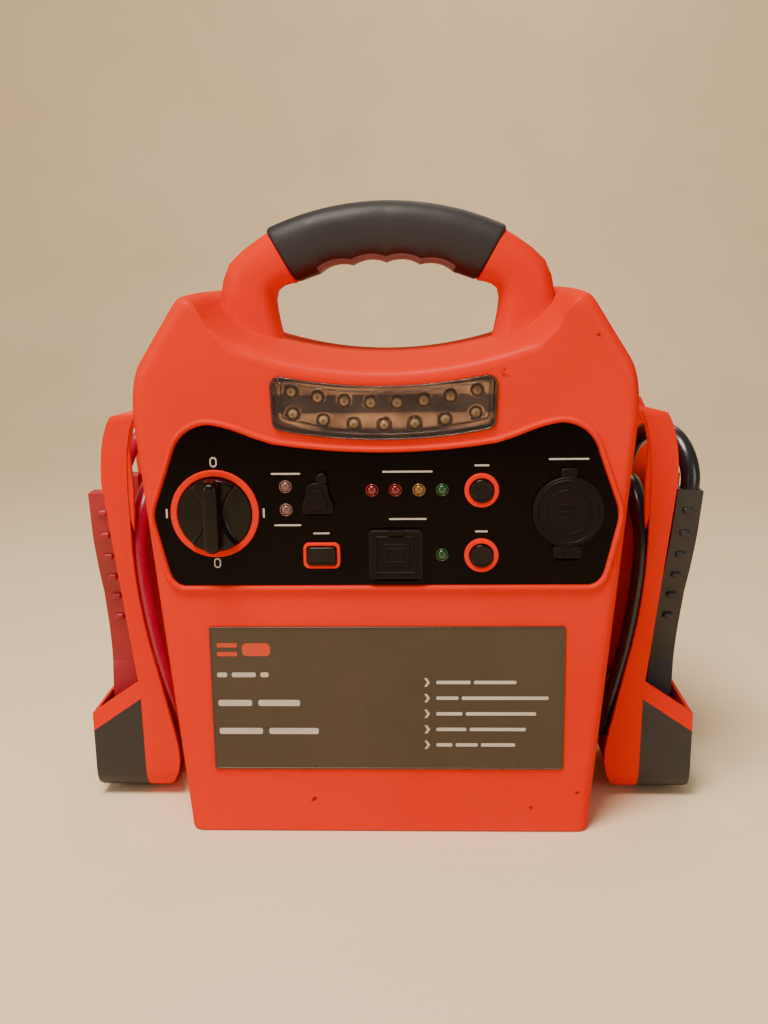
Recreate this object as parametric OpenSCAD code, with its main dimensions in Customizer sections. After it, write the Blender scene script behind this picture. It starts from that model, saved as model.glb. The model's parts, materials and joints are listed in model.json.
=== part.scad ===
// Portable jump starter pack with an air compressor, work light, power outlets
// and a pair of jump leads stowed on its sides.
// Millimetres, +Z up, front towards -Y, origin at the bottom centre.

/* [Body] */
// Width of the body where it is widest
body_w = 243; // [240:1:246]
// Width of the body at its base
base_w = 203; // [200:1:206]
// Depth of the body from front to back
body_d = 150; // [148:1:154]
// Height of the middle of the hollowed top
top_mid_z = 240; // [238:1:242]
// Thickness of the moulded walls
wall = 3; // [2.5:0.5:3.5]

/* [Handle] */
// Radius of the grip's outer arc
grip_r = 153; // [151:1:155]
// Height of the top of the grip
grip_top_z = 318; // [316:1:320]
// Angle that the grip covers
grip_sweep = 47; // [44:1:48]

/* [Panel] */
// Radius of the rotary knob
knob_r = 17.8; // [17:0.1:18]
// Travel of a push button
button_travel = 1.2; // [0.8:0.1:1.4]
// Bore radius of the 12 V outlet
outlet_bore_r = 10.5; // [10.4:0.1:10.6]
// Length of the 12 V outlet's bore
outlet_bore_l = 38; // [34:1:40]

/* [Side holders and leads] */
// Depth of each side holder from front to back
tray_d = 76; // [74:1:78]
// Diameter of a jump lead
lead_d = 10; // [9:0.5:10]
// Width of a clamp
clamp_w = 13.4; // [12:0.2:13.6]

/* [Hidden] */
$fn = 48;

clear = 0.3;
front_y = -body_d / 2;
rear_y = body_d / 2;
side_slope = (body_w - base_w) / 2 / 215;

// Colours
orange_c = [0.92, 0.27, 0.07];
rubber_c = [0.13, 0.13, 0.14];
gloss_c = [0.05, 0.04, 0.04];
steel_c = [0.7, 0.7, 0.72];
copper_c = [0.75, 0.42, 0.25];
red_c = [0.75, 0.04, 0.10];
taupe_c = [0.40, 0.35, 0.30];

// Points of a smooth bend from a to c, pulled towards b
function bend(a, b, c, n = 6) =
    [for (i = [0:n]) let (t = i / n) (1 - t) * (1 - t) * a + 2 * t * (1 - t) * b + t * t * c];
// Both halves of an outline whose right half runs from the bottom middle to the top middle
function mirrored(half) =
    concat(half, [for (i = [len(half) - 1:-1:0]) [-half[i].x, half[i].y]]);
// Points of an arc with the height z0 in its middle
function smile(x0, x1, z0, r, n = 8) =
    [for (i = [0:n]) let (x = x0 + (x1 - x0) * i / n) [x, z0 + r - sqrt(r * r - x * x)]];

// Front outline of the body, right half, drawn inwards by d
function body_half(d = 0) =
    let (w = body_w / 2 - d, b = base_w / 2 - d, t = top_mid_z)
    concat(bend([b - 4, d], [b, d], [b + 0.4, 4 + d], 3),
        bend([w - 1, 206], [w + 3.4, 237 - d * 0.6], [w - 11, 252 - d], 6),
        bend([101 - d, 265 - d], [93 - d * 0.8, 281 - d], [85 - d * 0.5, 264 - d], 5),
        [for (p = smile(73, 0, t - d, 205)) p]);

// A flat outline in X and Z, stretched from y0 to y1
module slab(y0, y1)
    translate([0, y1, 0])
        rotate([90, 0, 0])
            linear_extrude(y1 - y0)
                children();

// A round bar along Y from y0 to y1 at x, z
module round_y(x, z, r, y0, y1)
    translate([x, y1, z])
        rotate([90, 0, 0])
            cylinder(h = y1 - y0, r = r);

// A round tube along Y
module ring_y(x, z, r, bore, y0, y1)
    difference() {
        round_y(x, z, r, y0, y1);
        round_y(x, z, bore, y0 - 1, y1 + 1);
    }

// A block between two corners
module box(a, b)
    translate(a)
        cube(b - a);

// An X, Z rectangle with round corners, stretched along Y
module soft_plate(x, z, w, h, r, y0, y1)
    slab(y0, y1)
        union() {
            translate([x - w / 2 + r, z - h / 2]) square([w - 2 * r, h]);
            translate([x - w / 2, z - h / 2 + r]) square([w, h - 2 * r]);
            for (sx = [-1, 1], sz = [-1, 1])
                translate([x + sx * (w / 2 - r), z + sz * (h / 2 - r)])
                    circle(r);
        }

// Solid shape of the body, drawn inwards by d, with the front and back edges eased
ease = 7;
module body_block(d = 0)
    intersection() {
        slab(front_y + d, rear_y - d)
            polygon(mirrored(body_half(d)));
        hull() {
            slab(front_y + ease, rear_y - ease)
                polygon(mirrored(body_half(d)));
            slab(front_y + d, rear_y - d)
                polygon(mirrored(body_half(d + ease - 1)));
            box([-base_w / 2 + 6, front_y + d, d], [base_w / 2 - 6, rear_y - d, 20]);
        }
    }

// Handle arms, right half, in X and Z
arm_in = [[56, 246], [58, 262], [60, 274]];
arm_out = [[88, 252], [89, 268]];
bar_h = 22;
bar_d = 24;
arm_d = 32;
grip_h = 32;
grip_d = 34;
grip_axis_z = grip_top_z - grip_r;
bar_mid_r = grip_r - grip_h / 2;
grip_half = grip_sweep / 2;
// A point at the radius r and the angle a from the top of the grip's arc
function arc_pt(r, a) = [r * sin(a), grip_axis_z + r * cos(a)];
module arm_profile()
    polygon(concat(arm_in, [arc_pt(grip_r - grip_h, grip_half), arc_pt(grip_r, grip_half)],
        bend([78, 297], [88, 291], [89, 278], 5), [arm_out[1], arm_out[0]]));
// Part of a ring about the grip's axis with the section given as children
module arc_bar(a)
    translate([0, 0, grip_axis_z])
        rotate([-90, 0, 0])
            rotate([0, 0, -90 - a])
                rotate_extrude(angle = 2 * a, $fn = 128)
                    children();
module arms()
    for (s = [0, 1])
        mirror([s, 0, 0])
            slab(-arm_d / 2, arm_d / 2)
                arm_profile();

// Panel: middle of its lower edge, its side points and its upper edge
panel_z0 = 132;
panel_y = front_y - 0.6;
panel_t = 3;
bead_w = 3.2;
bead_h = 2;
panel_half = concat([[97, panel_z0]], bend([99, panel_z0], [104.5, 133], [106, 140], 3),
    bend([111, 161], [112.4, 166], [111, 171], 3),
    bend([102, 196], [99, 208], [87, 210.6], 5), bend([84, 210.8], [75, 209.6], [64, 204.6], 3),
    smile(54, 0, 197, 340, 6));
module panel_outline()
    polygon(mirrored(panel_half));

// Lamp window
lamp_half = concat(smile(0, 48, 203.3, 262, 5), bend([49, 208], [53, 208.6], [53.3, 212.6], 3),
    bend([53.9, 229], [53.6, 234], [48.6, 233.8], 3), [for (p = smile(44, 0, 229, 243, 5)) p]);
module lamp_outline()
    polygon(mirrored(lamp_half));
led_curve = 0.0029;
lamp_led_xz = concat(
    [for (i = [0:7]) let (x = (i - 3.5) * 12.7) [x, 220.4 + led_curve * x * x]],
    [for (i = [0:6]) let (x = (i - 3) * 14.6) [x, 209.9 + led_curve * x * x]]);
lamp_led_r = 2.5;

// Places of the parts on the panel, in X and Z
knob_c = [-82.3, 168.1];
outlet_c = [87.8, 168.4];
test_c = [46.5, 178.8];
usb_button_c = [46.5, 146.8];
light_c = [-30.9, 147];
jack_c = [-32.2, 174.5];
usb_c = [5.2, 147.6];
indicator_xz = [[-47.8, 181], [-47.8, 169.6], [-6.1, 179], [5.2, 179], [16.5, 179], [27.7, 179],
    [27.5, 146.9]];
indicator_r = 2.5;
button_r = 5.6;
button_ring_r = 8.3;
knob_ring_r = 21.5;
light_w = 14;
light_h = 9;
usb_cover_w = 26.6;
usb_cover_h = 24.6;
cap_r = 17.2;
cap_t = 3;

module front_openings() {
    slab(front_y - 5, front_y + 6) panel_outline();
    slab(front_y - 5, front_y + 6) lamp_outline();
}

module shell_cavity()
    difference() {
        body_block(wall);
        for (s = [-1, 1])
            box([s * 74 - 19, -20, 230], [s * 74 + 19, 20, 275]);
    }

split_y = 0;
door_w = 110;
door_h = 74;
door_z = 78;
door_t = 3;
vent_z = 196;
gauge_c = [-58, 168];
gauge_r = 21;
rocker_c = [58, 168];
pocket_d = 34;
screw_x = [-84, 84];
screw_z = [20, 120, 200];
screw_r = 3;

module front_shell()
    color(orange_c)
        union() {
            difference() {
                intersection() {
                    body_block();
                    box([-150, front_y - 1, -1], [150, split_y, 300]);
                }
                shell_cavity();
                arms();
                front_openings();
            }
            slab(front_y - bead_h, front_y + 2)
                difference() {
                    offset(delta = bead_w)
                        panel_outline();
                    panel_outline();
                }
        }

hinge_z = door_z - door_h / 2 + 5;
hinge_y = rear_y - 4.5;
pin_r = 1.5;
// Recess behind the door, with ears for the hinge pin
module compartment_walls()
    difference() {
        box([-door_w / 2 - wall, rear_y - pocket_d, door_z - door_h / 2 - wall],
            [door_w / 2 + wall, rear_y - 1, door_z + door_h / 2 + wall]);
        box([-door_w / 2, rear_y - pocket_d + wall, door_z - door_h / 2],
            [door_w / 2, rear_y + 1, door_z + door_h / 2]);
    }

module rear_shell()
    color(orange_c)
        difference() {
            union() {
                difference() {
                    intersection() {
                        body_block();
                        box([-150, split_y, -1], [150, rear_y + 1, 300]);
                    }
                    shell_cavity();
                    arms();
                    box([-door_w / 2, rear_y - 10, door_z - door_h / 2],
                        [door_w / 2, rear_y + 1, door_z + door_h / 2]);
                }
                compartment_walls();
            }
            translate([-door_w / 2 - wall + 1, hinge_y, hinge_z])
                rotate([0, 90, 0])
                    cylinder(h = door_w + 2 * wall - 2, r = pin_r);
            round_y(gauge_c.x, gauge_c.y, gauge_r, rear_y - 10, rear_y + 1);
            box([rocker_c.x - 7, rear_y - 10, rocker_c.y - 12],
                [rocker_c.x + 7, rear_y + 1, rocker_c.y + 12]);
            round_y(0, 105, 5, rear_y - pocket_d - 1, rear_y - pocket_d + wall + 1);
            for (x = screw_x, z = screw_z)
                round_y(x, z, screw_r, rear_y - wall - 1, rear_y + 1);
            for (i = [0:6])
                box([-24 + i * 7, rear_y - 10, vent_z - 14], [-21 + i * 7, rear_y + 1, vent_z + 14]);
        }

module compartment_door()
    color(orange_c)
        difference() {
            union() {
                box([-door_w / 2 + clear, rear_y - door_t - 0.2, hinge_z - 2.3],
                    [door_w / 2 - clear, rear_y - 0.2, door_z + door_h / 2 - clear]);
                for (s = [-1, 1])
                    translate([s * 40 - 12, hinge_y, hinge_z])
                        rotate([0, 90, 0])
                            cylinder(h = 24, r = 3);
            }
            translate([-60, hinge_y, hinge_z])
                rotate([0, 90, 0])
                    cylinder(h = 120, r = pin_r + 0.05);
        }

module door_pin()
    color(steel_c)
        translate([-door_w / 2 - wall + 1, hinge_y, hinge_z])
            rotate([0, 90, 0])
                cylinder(h = door_w + 2 * wall - 2, r = pin_r);

module handle_frame()
    color(orange_c)
        union() {
            arms();
            arc_bar(grip_half + 1)
                translate([bar_mid_r - bar_h / 2, -bar_d / 2])
                    square([bar_h, bar_d]);
        }

grip_scallop_r = 19;
grip_scallop_step = 8.6;
module handle_grip()
    color(rubber_c)
        difference() {
            arc_bar(grip_half)
                union() {
                    translate([grip_r - grip_h + 7, -grip_d / 2]) square([grip_h - 14, grip_d]);
                    translate([grip_r - grip_h, -grip_d / 2 + 7]) square([grip_h, grip_d - 14]);
                    for (sx = [0, 1], sy = [-1, 1])
                        translate([grip_r - grip_h + 7 + sx * (grip_h - 14), sy * (grip_d / 2 - 7)])
                            circle(7);
                }
            arc_bar(grip_half + 3)
                translate([bar_mid_r - bar_h / 2, -bar_d / 2])
                    square([bar_h, bar_d]);
            for (i = [0:3])
                let (a = (i - 1.5) * grip_scallop_step,
                    p = arc_pt(grip_r - grip_h - grip_scallop_r + 2.2, a))
                round_y(p.x, p.y, grip_scallop_r, -20, 20);
        }

// Rolled lower edges on which the rubber covers turn: middle, half length
roll_r = 1.2;
usb_roll = [usb_c.x, panel_y - 0.3, usb_c.y - usb_cover_h / 2];
jack_roll = [jack_c.x, panel_y - 0.6, jack_c.y - 6.4];
cap_roll = [outlet_c.x, panel_y - 0.4, outlet_c.y - cap_r - 5.9];
module roll(c, half_l, r = roll_r)
    translate([c.x - half_l, c.y, c.z])
        rotate([0, 90, 0])
            cylinder(h = 2 * half_l, r = r);

module panel_fascia()
    color(gloss_c)
        difference() {
            slab(panel_y, panel_y + panel_t) panel_outline();
            round_y(knob_c.x, knob_c.y, 9, panel_y - 1, panel_y + 5);
            round_y(outlet_c.x, outlet_c.y, 13.5, panel_y - 1, panel_y + 5);
            for (c = [test_c, usb_button_c])
                round_y(c.x, c.y, button_ring_r, panel_y - 1, panel_y + 5);
            for (c = indicator_xz)
                round_y(c.x, c.y, indicator_r, panel_y - 1, panel_y + 5);
            soft_plate(light_c.x, light_c.y, 18, 12.8, 3, panel_y - 1, panel_y + 5);
            round_y(jack_c.x, jack_c.y, 4.5, panel_y - 1, panel_y + 5);
            box([usb_c.x - 7.5, panel_y - 1, usb_c.y - 3.6], [usb_c.x + 7.5, panel_y + 5, usb_c.y + 3.6]);
            roll(usb_roll, 10.5, roll_r + 0.3);
            roll(jack_roll, 5.5, roll_r + 0.3);
            roll(cap_roll, 5.5, roll_r + 0.3);
        }

module label_plate()
    color(taupe_c)
        box([-88, front_y - 0.8, 35], [88, front_y, 110.3]);

lens_t = 2;
module lamp_lens()
    color([0.85, 0.88, 0.9, 0.5])
        slab(front_y - 1.2, front_y - 1.2 + lens_t) lamp_outline();

module lamp_reflector()
    color([0.8, 0.8, 0.82])
        difference() {
            slab(front_y + 1, front_y + 11) offset(delta = -0.4) lamp_outline();
            slab(front_y, front_y + 8) offset(delta = -2) lamp_outline();
            for (p = lamp_led_xz)
                round_y(p.x, p.y, lamp_led_r + 0.2, front_y - 1, front_y + 12);
        }

module lamp_leds()
    color([0.95, 0.93, 0.8])
        for (p = lamp_led_xz)
            round_y(p.x, p.y, lamp_led_r, front_y + 3.6, front_y + 12);

module lamp_board()
    color([0.1, 0.35, 0.15])
        slab(front_y + 12, front_y + 13.6) offset(delta = -1) lamp_outline();

module knob_ring()
    color(orange_c)
        ring_y(knob_c.x, knob_c.y, knob_ring_r, knob_r + 0.4, panel_y - 2.2, panel_y);

module rotary_knob()
    color(gloss_c)
        union() {
            difference() {
                round_y(knob_c.x, knob_c.y, knob_r, panel_y - 7, panel_y - 0.4);
                for (s = [-1, 1])
                    translate([knob_c.x + s * 22.5, 0, knob_c.y])
                        rotate([90, 0, 0])
                            translate([0, 0, -panel_y + 2.6])
                                cylinder(h = 8, r = 18.5);
            }
            intersection() {
                round_y(knob_c.x, knob_c.y, knob_r, panel_y - 15, panel_y - 6);
                box([knob_c.x - 4, panel_y - 15, knob_c.y - 18], [knob_c.x + 4, panel_y - 6, knob_c.y + 18]);
            }
            round_y(knob_c.x, knob_c.y, 5.9, panel_y - 2, panel_y + 6);
        }

module rotary_switch()
    color([0.2, 0.2, 0.22])
        difference() {
            union() {
                round_y(knob_c.x, knob_c.y, 8.5, panel_y + 0.5, panel_y + 10);
                box([knob_c.x - 19, panel_y + 10, knob_c.y - 19],
                    [knob_c.x + 19, panel_y + 34, knob_c.y + 19]);
            }
            round_y(knob_c.x, knob_c.y, 6, panel_y, panel_y + 6.4);
        }

board_y = front_y + 16;
module control_board()
    color([0.1, 0.35, 0.15])
        box([-56, board_y, 136], [60, board_y + 1.6, 192]);

module indicator_leds()
    color([0.9, 0.3, 0.2])
        for (c = indicator_xz) {
            round_y(c.x, c.y, indicator_r, panel_y - 1, board_y);
        }

module light_button_ring()
    color(orange_c)
        difference() {
            soft_plate(light_c.x, light_c.y, 18, 12.8, 3, panel_y - 1.8, panel_y + panel_t);
            soft_plate(light_c.x, light_c.y, light_w + 0.6, light_h + 0.6, 1.6, panel_y - 3, panel_y + 5);
        }

module light_button()
    color(gloss_c)
        union() {
            soft_plate(light_c.x, light_c.y, light_w, light_h, 1.5, panel_y - 3, panel_y + 3);
            box([light_c.x - 2, panel_y + 3, light_c.y - 2],
                [light_c.x + 2, board_y - button_travel - 0.4, light_c.y + 2]);
        }

module round_button_rings()
    color(orange_c)
        for (c = [test_c, usb_button_c])
            ring_y(c.x, c.y, button_ring_r, button_r + 0.3, panel_y - 1.8, panel_y + panel_t);

module push_button(c)
    color(gloss_c)
        union() {
            round_y(c.x, c.y, button_r, panel_y - 3, panel_y + 3);
            round_y(c.x, c.y, 2, panel_y + 3, board_y - button_travel - 0.4);
        }
module test_button() push_button(test_c);
module usb_button() push_button(usb_button_c);

module usb_socket()
    color(steel_c)
        difference() {
            box([usb_c.x - 7.3, panel_y + 0.4, usb_c.y - 3.4], [usb_c.x + 7.3, board_y, usb_c.y + 3.4]);
            box([usb_c.x - 6.3, panel_y - 1, usb_c.y - 2.5], [usb_c.x + 6.3, board_y - 1, usb_c.y + 2.5]);
        }

module usb_cover()
    color(rubber_c)
        union() {
            soft_plate(usb_c.x, usb_c.y, usb_cover_w, usb_cover_h, 2, panel_y - 3.4, panel_y - 0.3);
            box([usb_c.x - 5.6, panel_y - 0.5, usb_c.y - 1.9],
                [usb_c.x + 5.6, panel_y + 2.5, usb_c.y + 1.9]);
            roll(usb_roll, 10);
        }

module charge_jack()
    color(steel_c)
        difference() {
            round_y(jack_c.x, jack_c.y, 4.4, panel_y - 0.3, board_y);
            round_y(jack_c.x, jack_c.y, 2.8, panel_y - 1, board_y - 2);
        }

module charge_jack_cover()
    color(rubber_c)
        union() {
            soft_plate(jack_c.x, jack_c.y - 1.4, 15, 10, 2.4, panel_y - 4.4, panel_y - 0.6);
            soft_plate(jack_c.x + 0.4, jack_c.y + 5, 9, 8, 3, panel_y - 3.6, panel_y - 0.6);
            soft_plate(jack_c.x + 2, jack_c.y + 10.6, 5.4, 4, 1.8, panel_y - 3.6, panel_y - 0.6);
            roll(jack_roll, 5);
        }

module outlet_socket()
    color(gloss_c)
        difference() {
            round_y(outlet_c.x, outlet_c.y, 13.4, panel_y - 0.2, panel_y + outlet_bore_l + 4);
            round_y(outlet_c.x, outlet_c.y, outlet_bore_r, panel_y - 1, panel_y + outlet_bore_l);
        }

module outlet_cap()
    color(rubber_c)
        union() {
            round_y(outlet_c.x, outlet_c.y, cap_r, panel_y - 0.4 - cap_t, panel_y - 0.4);
            box([outlet_c.x - 4, panel_y - 3, outlet_c.y + cap_r - 2],
                [outlet_c.x + 4, panel_y - 0.4, outlet_c.y + cap_r + 4]);
            soft_plate(outlet_c.x, outlet_c.y - cap_r - 2.4, 14.4, 7, 2.4, panel_y - 3, panel_y - 0.4);
            roll(cap_roll, 5);
        }

bat_w = 151;
bat_d = 95;
bat_h = 94;
bat_y = -68;
module battery()
    color([0.15, 0.16, 0.2])
        union() {
            box([-bat_w / 2, bat_y, wall], [bat_w / 2, bat_y + bat_d, wall + bat_h]);
            for (s = [-1, 1])
                box([s * 55 - 6, bat_y + 6, wall + bat_h], [s * 55 + 6, bat_y + 18, wall + bat_h + 8]);
        }

bus_z = wall + bat_h + 8;
bus_half = 27;
module busbars()
    color(copper_c)
        for (s = [-1, 1])
            box([s * 77 - bus_half, bat_y + 6, bus_z], [s * 77 + bus_half, bat_y + 18, bus_z + 2]);

motor_z = 150;
module compressor_motor()
    color(steel_c)
        union() {
            translate([-68, 28, motor_z])
                rotate([0, 90, 0])
                    cylinder(h = 56, r = 18);
            box([-60, 20, bus_z - 5], [-20, 36, motor_z - 16]);
        }

module compressor_pump()
    color([0.55, 0.56, 0.58])
        union() {
            box([-12, 10, 128], [34, 46, 172]);
            translate([11, 28, 172])
                cylinder(h = 26, r = 14);
        }

module hose_outlet()
    color([0.75, 0.6, 0.3])
        union() {
            round_y(0, 105, 5, rear_y - pocket_d - 8, rear_y - pocket_d + 8);
            round_y(0, 105, 3.4, rear_y - pocket_d + 8, rear_y - pocket_d + 20);
        }

module pressure_gauge()
    color([0.9, 0.9, 0.88])
        difference() {
            round_y(gauge_c.x, gauge_c.y, gauge_r - 0.2, rear_y - 16, rear_y + 1);
            round_y(gauge_c.x, gauge_c.y, gauge_r - 2.4, rear_y - 4, rear_y + 2);
        }

needle_y = rear_y - 3;
module gauge_needle()
    color([0.7, 0.05, 0.05])
        union() {
            round_y(gauge_c.x, gauge_c.y, 2.2, needle_y - 0.6, needle_y + 1);
            translate([gauge_c.x, 0, gauge_c.y])
                rotate([0, -45, 0])
                    translate([-0.6, needle_y, -15])
                        cube([1.2, 0.8, 17]);
        }

rocker_w = 13.2;
rocker_pin_r = 1.2;
module compressor_switch()
    color(gloss_c)
        translate([rocker_c.x - rocker_w / 2, rear_y - 3, rocker_c.y])
            rotate([90, 0, 90])
                linear_extrude(rocker_w)
                    difference() {
                        polygon([[-7, -5], [-2, -9.6], [5.2, -9.6], [2.2, 0],
                            [1.6, 9.6], [-2, 9.6], [-7, 5]]);
                        circle(rocker_pin_r + 0.05);
                    }

module rocker_pin()
    color(steel_c)
        translate([rocker_c.x - rocker_w / 2 - 0.3, rear_y - 3, rocker_c.y])
            rotate([0, 90, 0])
                cylinder(h = rocker_w + 0.6, r = rocker_pin_r);

module shell_screws()
    color(steel_c)
        for (x = screw_x, z = screw_z)
            round_y(x, z, screw_r, rear_y - wall, rear_y + 0.6);

// Side holders. All of them are drawn on the right and mirrored to the left.
tray_z0 = 3.4;
tray_top = 215.5;
web_t = 2.5;
web_in = 2.5;
web_top = 156;
// Outer edge of the holder at the height z
function tray_x(z) = 135.2 + 0.125 * (z - 70);
// Side of the body at the height z
function body_x(z) = base_w / 2 + side_slope * z;
tray_inner = concat([[123, tray_top]], bend([127, 214], [136.4, 204], [134.6, 160], 7),
    bend([134.4, 140], [133.4, 108], [125, 74], 5), [[117.6, 40]],
    bend([115.6, 30], [113, 12], [124, tray_z0], 4));
tray_outer = concat([[134, tray_z0], [134.6, 60]], [[tray_x(168), 168]],
    bend([tray_x(176), 176], [148.4, 200], [142, 210.6], 5));
module tray_profile()
    polygon(concat(tray_inner, tray_outer));

// Radii of the holder's lower and upper corners, seen from the side
low_r = 14;
top_r = 7;
// Side outline of a holder in Y and Z, drawn inwards by d
module holder_side(d, x0, x1)
    translate([x0, 0, 0])
        rotate([90, 0, 90])
            linear_extrude(x1 - x0)
                union() {
                    translate([-tray_d / 2 + d, tray_z0 + low_r + d])
                        square([tray_d - 2 * d, tray_top - tray_z0 - low_r - top_r - 2 * d]);
                    translate([-tray_d / 2 + low_r + d, tray_z0 + d])
                        square([tray_d - 2 * (low_r + d), 30]);
                    translate([-tray_d / 2 + top_r + d, tray_top - 60])
                        square([tray_d - 2 * (top_r + d), 60 - d]);
                    for (s = [-1, 1]) {
                        translate([s * (tray_d / 2 - low_r - d), tray_z0 + low_r + d]) circle(low_r);
                        translate([s * (tray_d / 2 - top_r - d), tray_top - top_r - d]) circle(top_r);
                    }
                }

// The web between the holder's front and back walls, as an X, Z outline
web_profile = [[131.6 - web_in - 2, tray_z0], [131.6 - web_in + 0.6, tray_z0],
    [tray_x(web_top) - web_in, web_top], [tray_x(web_top) - web_in - web_t, web_top]];
mouth_in = [134.6, 68];
mouth_out = [161.4, 49.6];
pocket_in = 158.4;
// Outline of the whole pocket, and the line where its cover begins
pocket_profile = [[130, tray_z0], [158, tray_z0], [161, 8], mouth_out, mouth_in, [130, 68]];
cover_profile = [[90, -5], [170, -5], [170, 33.5], [90, 88.5]];

module holder_outer()
    intersection() {
        holder_side(0, 100, 170);
        slab(-tray_d / 2, tray_d / 2)
            union() {
                tray_profile();
                polygon(pocket_profile);
            }
    }
module holder_hollow() {
    intersection() {
        holder_side(wall, 90, 180);
        slab(-tray_d / 2 + wall, tray_d / 2 - wall)
            polygon([[90, tray_z0 + wall], [pocket_in, tray_z0 + wall], [pocket_in, 260], [90, 260]]);
    }
}
// The web is a plate of its own that closes the side of the holder nearest the body
module tray_web()
    color(orange_c)
        intersection() {
            holder_hollow();
            slab(-tray_d / 2, tray_d / 2) polygon(web_profile);
        }
module cover_zone()
    difference() {
        slab(-tray_d, tray_d) polygon(cover_profile);
        slab(-tray_d, tray_d)
            polygon([[90, -6], [133.4, -6], [134.6, 60], [134.6, 100], [90, 100]]);
    }

// Notch in the top through which the lead crosses over
module lead_notch()
    box([110, -tray_d / 2 + wall, 182], [170, tray_d / 2 - wall, 240]);

module tray()
    color(orange_c)
        difference() {
            holder_outer();
            holder_hollow();
            lead_notch();
            cover_zone();
        }
// Ribs on the outer face of the cover
rib_x = 162.2;
rib_z = 9.4;
rib_t = 3.4;
rib_step = 6.4;
rib_half = 24;
module pocket_cover()
    color(rubber_c)
        union() {
            difference() {
                intersection() {
                    holder_outer();
                    cover_zone();
                }
                holder_hollow();
            }
            for (i = [0:4])
                box([pocket_in + 1, -rib_half, rib_z + i * rib_step],
                    [rib_x, rib_half, rib_z + rib_t + i * rib_step]);
        }
module left_tray() mirror([1, 0, 0]) tray();
module right_tray() tray();
module left_tray_web() mirror([1, 0, 0]) tray_web();
module right_tray_web() tray_web();
module left_pocket_cover() mirror([1, 0, 0]) pocket_cover();
module right_pocket_cover() pocket_cover();

// The hub holds the tray on the body, and the lead leaves it through a short upright sleeve
outlet_y = 16;
sleeve_z0 = 84;
sleeve_z1 = 110;
sleeve_x = 120.5;
module hub()
    color(orange_c)
        union() {
            intersection() {
                translate([100, 0, 0])
                    rotate([90, 0, 90])
                        linear_extrude(50)
                            union() {
                                translate([-10, 72]) square([20, 66]);
                                translate([0, 72]) circle(10);
                                translate([0, 138]) circle(10);
                            }
                slab(-30, 30)
                    polygon([[body_x(50), 50], [web_x(50), 50], [web_x(160), 160], [body_x(160), 160]]);
            }
            difference() {
                union() {
                    translate([sleeve_x, outlet_y, sleeve_z0]) cylinder(h = sleeve_z1 - sleeve_z0, r = 7.5);
                    box([sleeve_x - 6, 8, sleeve_z0 + 2], [sleeve_x + 6, 14, sleeve_z1 - 2]);
                }
                translate([sleeve_x, outlet_y, sleeve_z0 + 6])
                    cylinder(h = sleeve_z1 - sleeve_z0, r = lead_d / 2 + 0.5);
            }
        }
// Inner face of the web at the height z
function web_x(z) =
    let (p = web_profile[0], q = web_profile[3]) p.x + (q.x - p.x) * (z - p.y) / (q.y - p.y);
module left_hub() mirror([1, 0, 0]) hub();
module right_hub() hub();

// Route of a lead on the right: out of the sleeve, round the hub and up behind it
lead_route = [[120.5, 16, 90], [120.5, 16, 104], [121.5, 16, 120], [123, 16, 136],
    [125, 15, 150], [127, 9.5, 162], [128.5, 0, 169], [129.5, -11, 169.5], [130.5, -21, 163],
    [132.6, -27, 152], [133.4, -29, 140], [132.8, -29.5, 126], [131.2, -29.5, 111],
    [128.9, -29.5, 96], [126, -29.5, 81], [122.6, -29, 67], [119.5, -26.5, 53], [118, -20.5, 40],
    [117, -11, 30], [116.6, 0, 26], [117, 11, 28], [118, 21, 36], [119, 27, 48], [120, 29.5, 62],
    [121.5, 29.5, 77], [123, 29.5, 92], [124.6, 29.5, 107], [126.2, 29.5, 123],
    [128, 29.5, 139], [130, 29.5, 155]];
right_lead_end = [[130.1, 29.4, 156], [132, 28.5, 169], [134.5, 24.5, 182], [138, 16, 191],
    [142.5, 6, 196], [147.5, -5, 197], [152.3, -15, 193.4], [155.6, -22, 186], [157.2, -25.6, 177],
    [156.8, -26.8, 169], [155.8, -26.6, 160]];
left_lead_end = [[130.1, 29.4, 156], [131.5, 28.5, 169], [132.8, 24.5, 181], [134.2, 16, 189],
    [135.8, 6, 193], [137.6, -5, 193], [139.4, -14, 189.6], [141.2, -20.6, 183], [143.4, -24.8, 175.4],
    [146.4, -26.6, 167.4], [149, -26.6, 160]];

function unit(v) = v / norm(v);
function heading(p, i) = unit(p[min(i + 1, len(p) - 1)] - p[max(i - 1, 0)]);
// A closed tube of radius r with n sides along the points p
module tube(p, r, n = 10) {
    rings = [for (i = [0:len(p) - 1])
        let (t = heading(p, i), a = unit(cross(t, [1, 0.2, 0])), b = cross(t, a))
        for (k = [0:n - 1]) p[i] + r * (cos(360 * k / n) * a + sin(360 * k / n) * b)];
    last = (len(p) - 1) * n;
    sides = [for (i = [0:len(p) - 2], k = [0:n - 1])
        let (j = (k + 1) % n) [i * n + k, i * n + j, (i + 1) * n + j, (i + 1) * n + k]];
    ends = [[for (k = [n - 1:-1:0]) k], [for (k = [0:n - 1]) last + k]];
    polyhedron(points = rings, faces = concat(sides, ends), convexity = 6);
}
module left_lead() color(red_c) mirror([1, 0, 0]) tube(lead_route, lead_d / 2);
module right_lead() color(rubber_c) tube(lead_route, lead_d / 2);
module left_lead_end() color(red_c) mirror([1, 0, 0]) tube(left_lead_end, lead_d / 2);
module right_lead_end() color(rubber_c) tube(right_lead_end, lead_d / 2);

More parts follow.
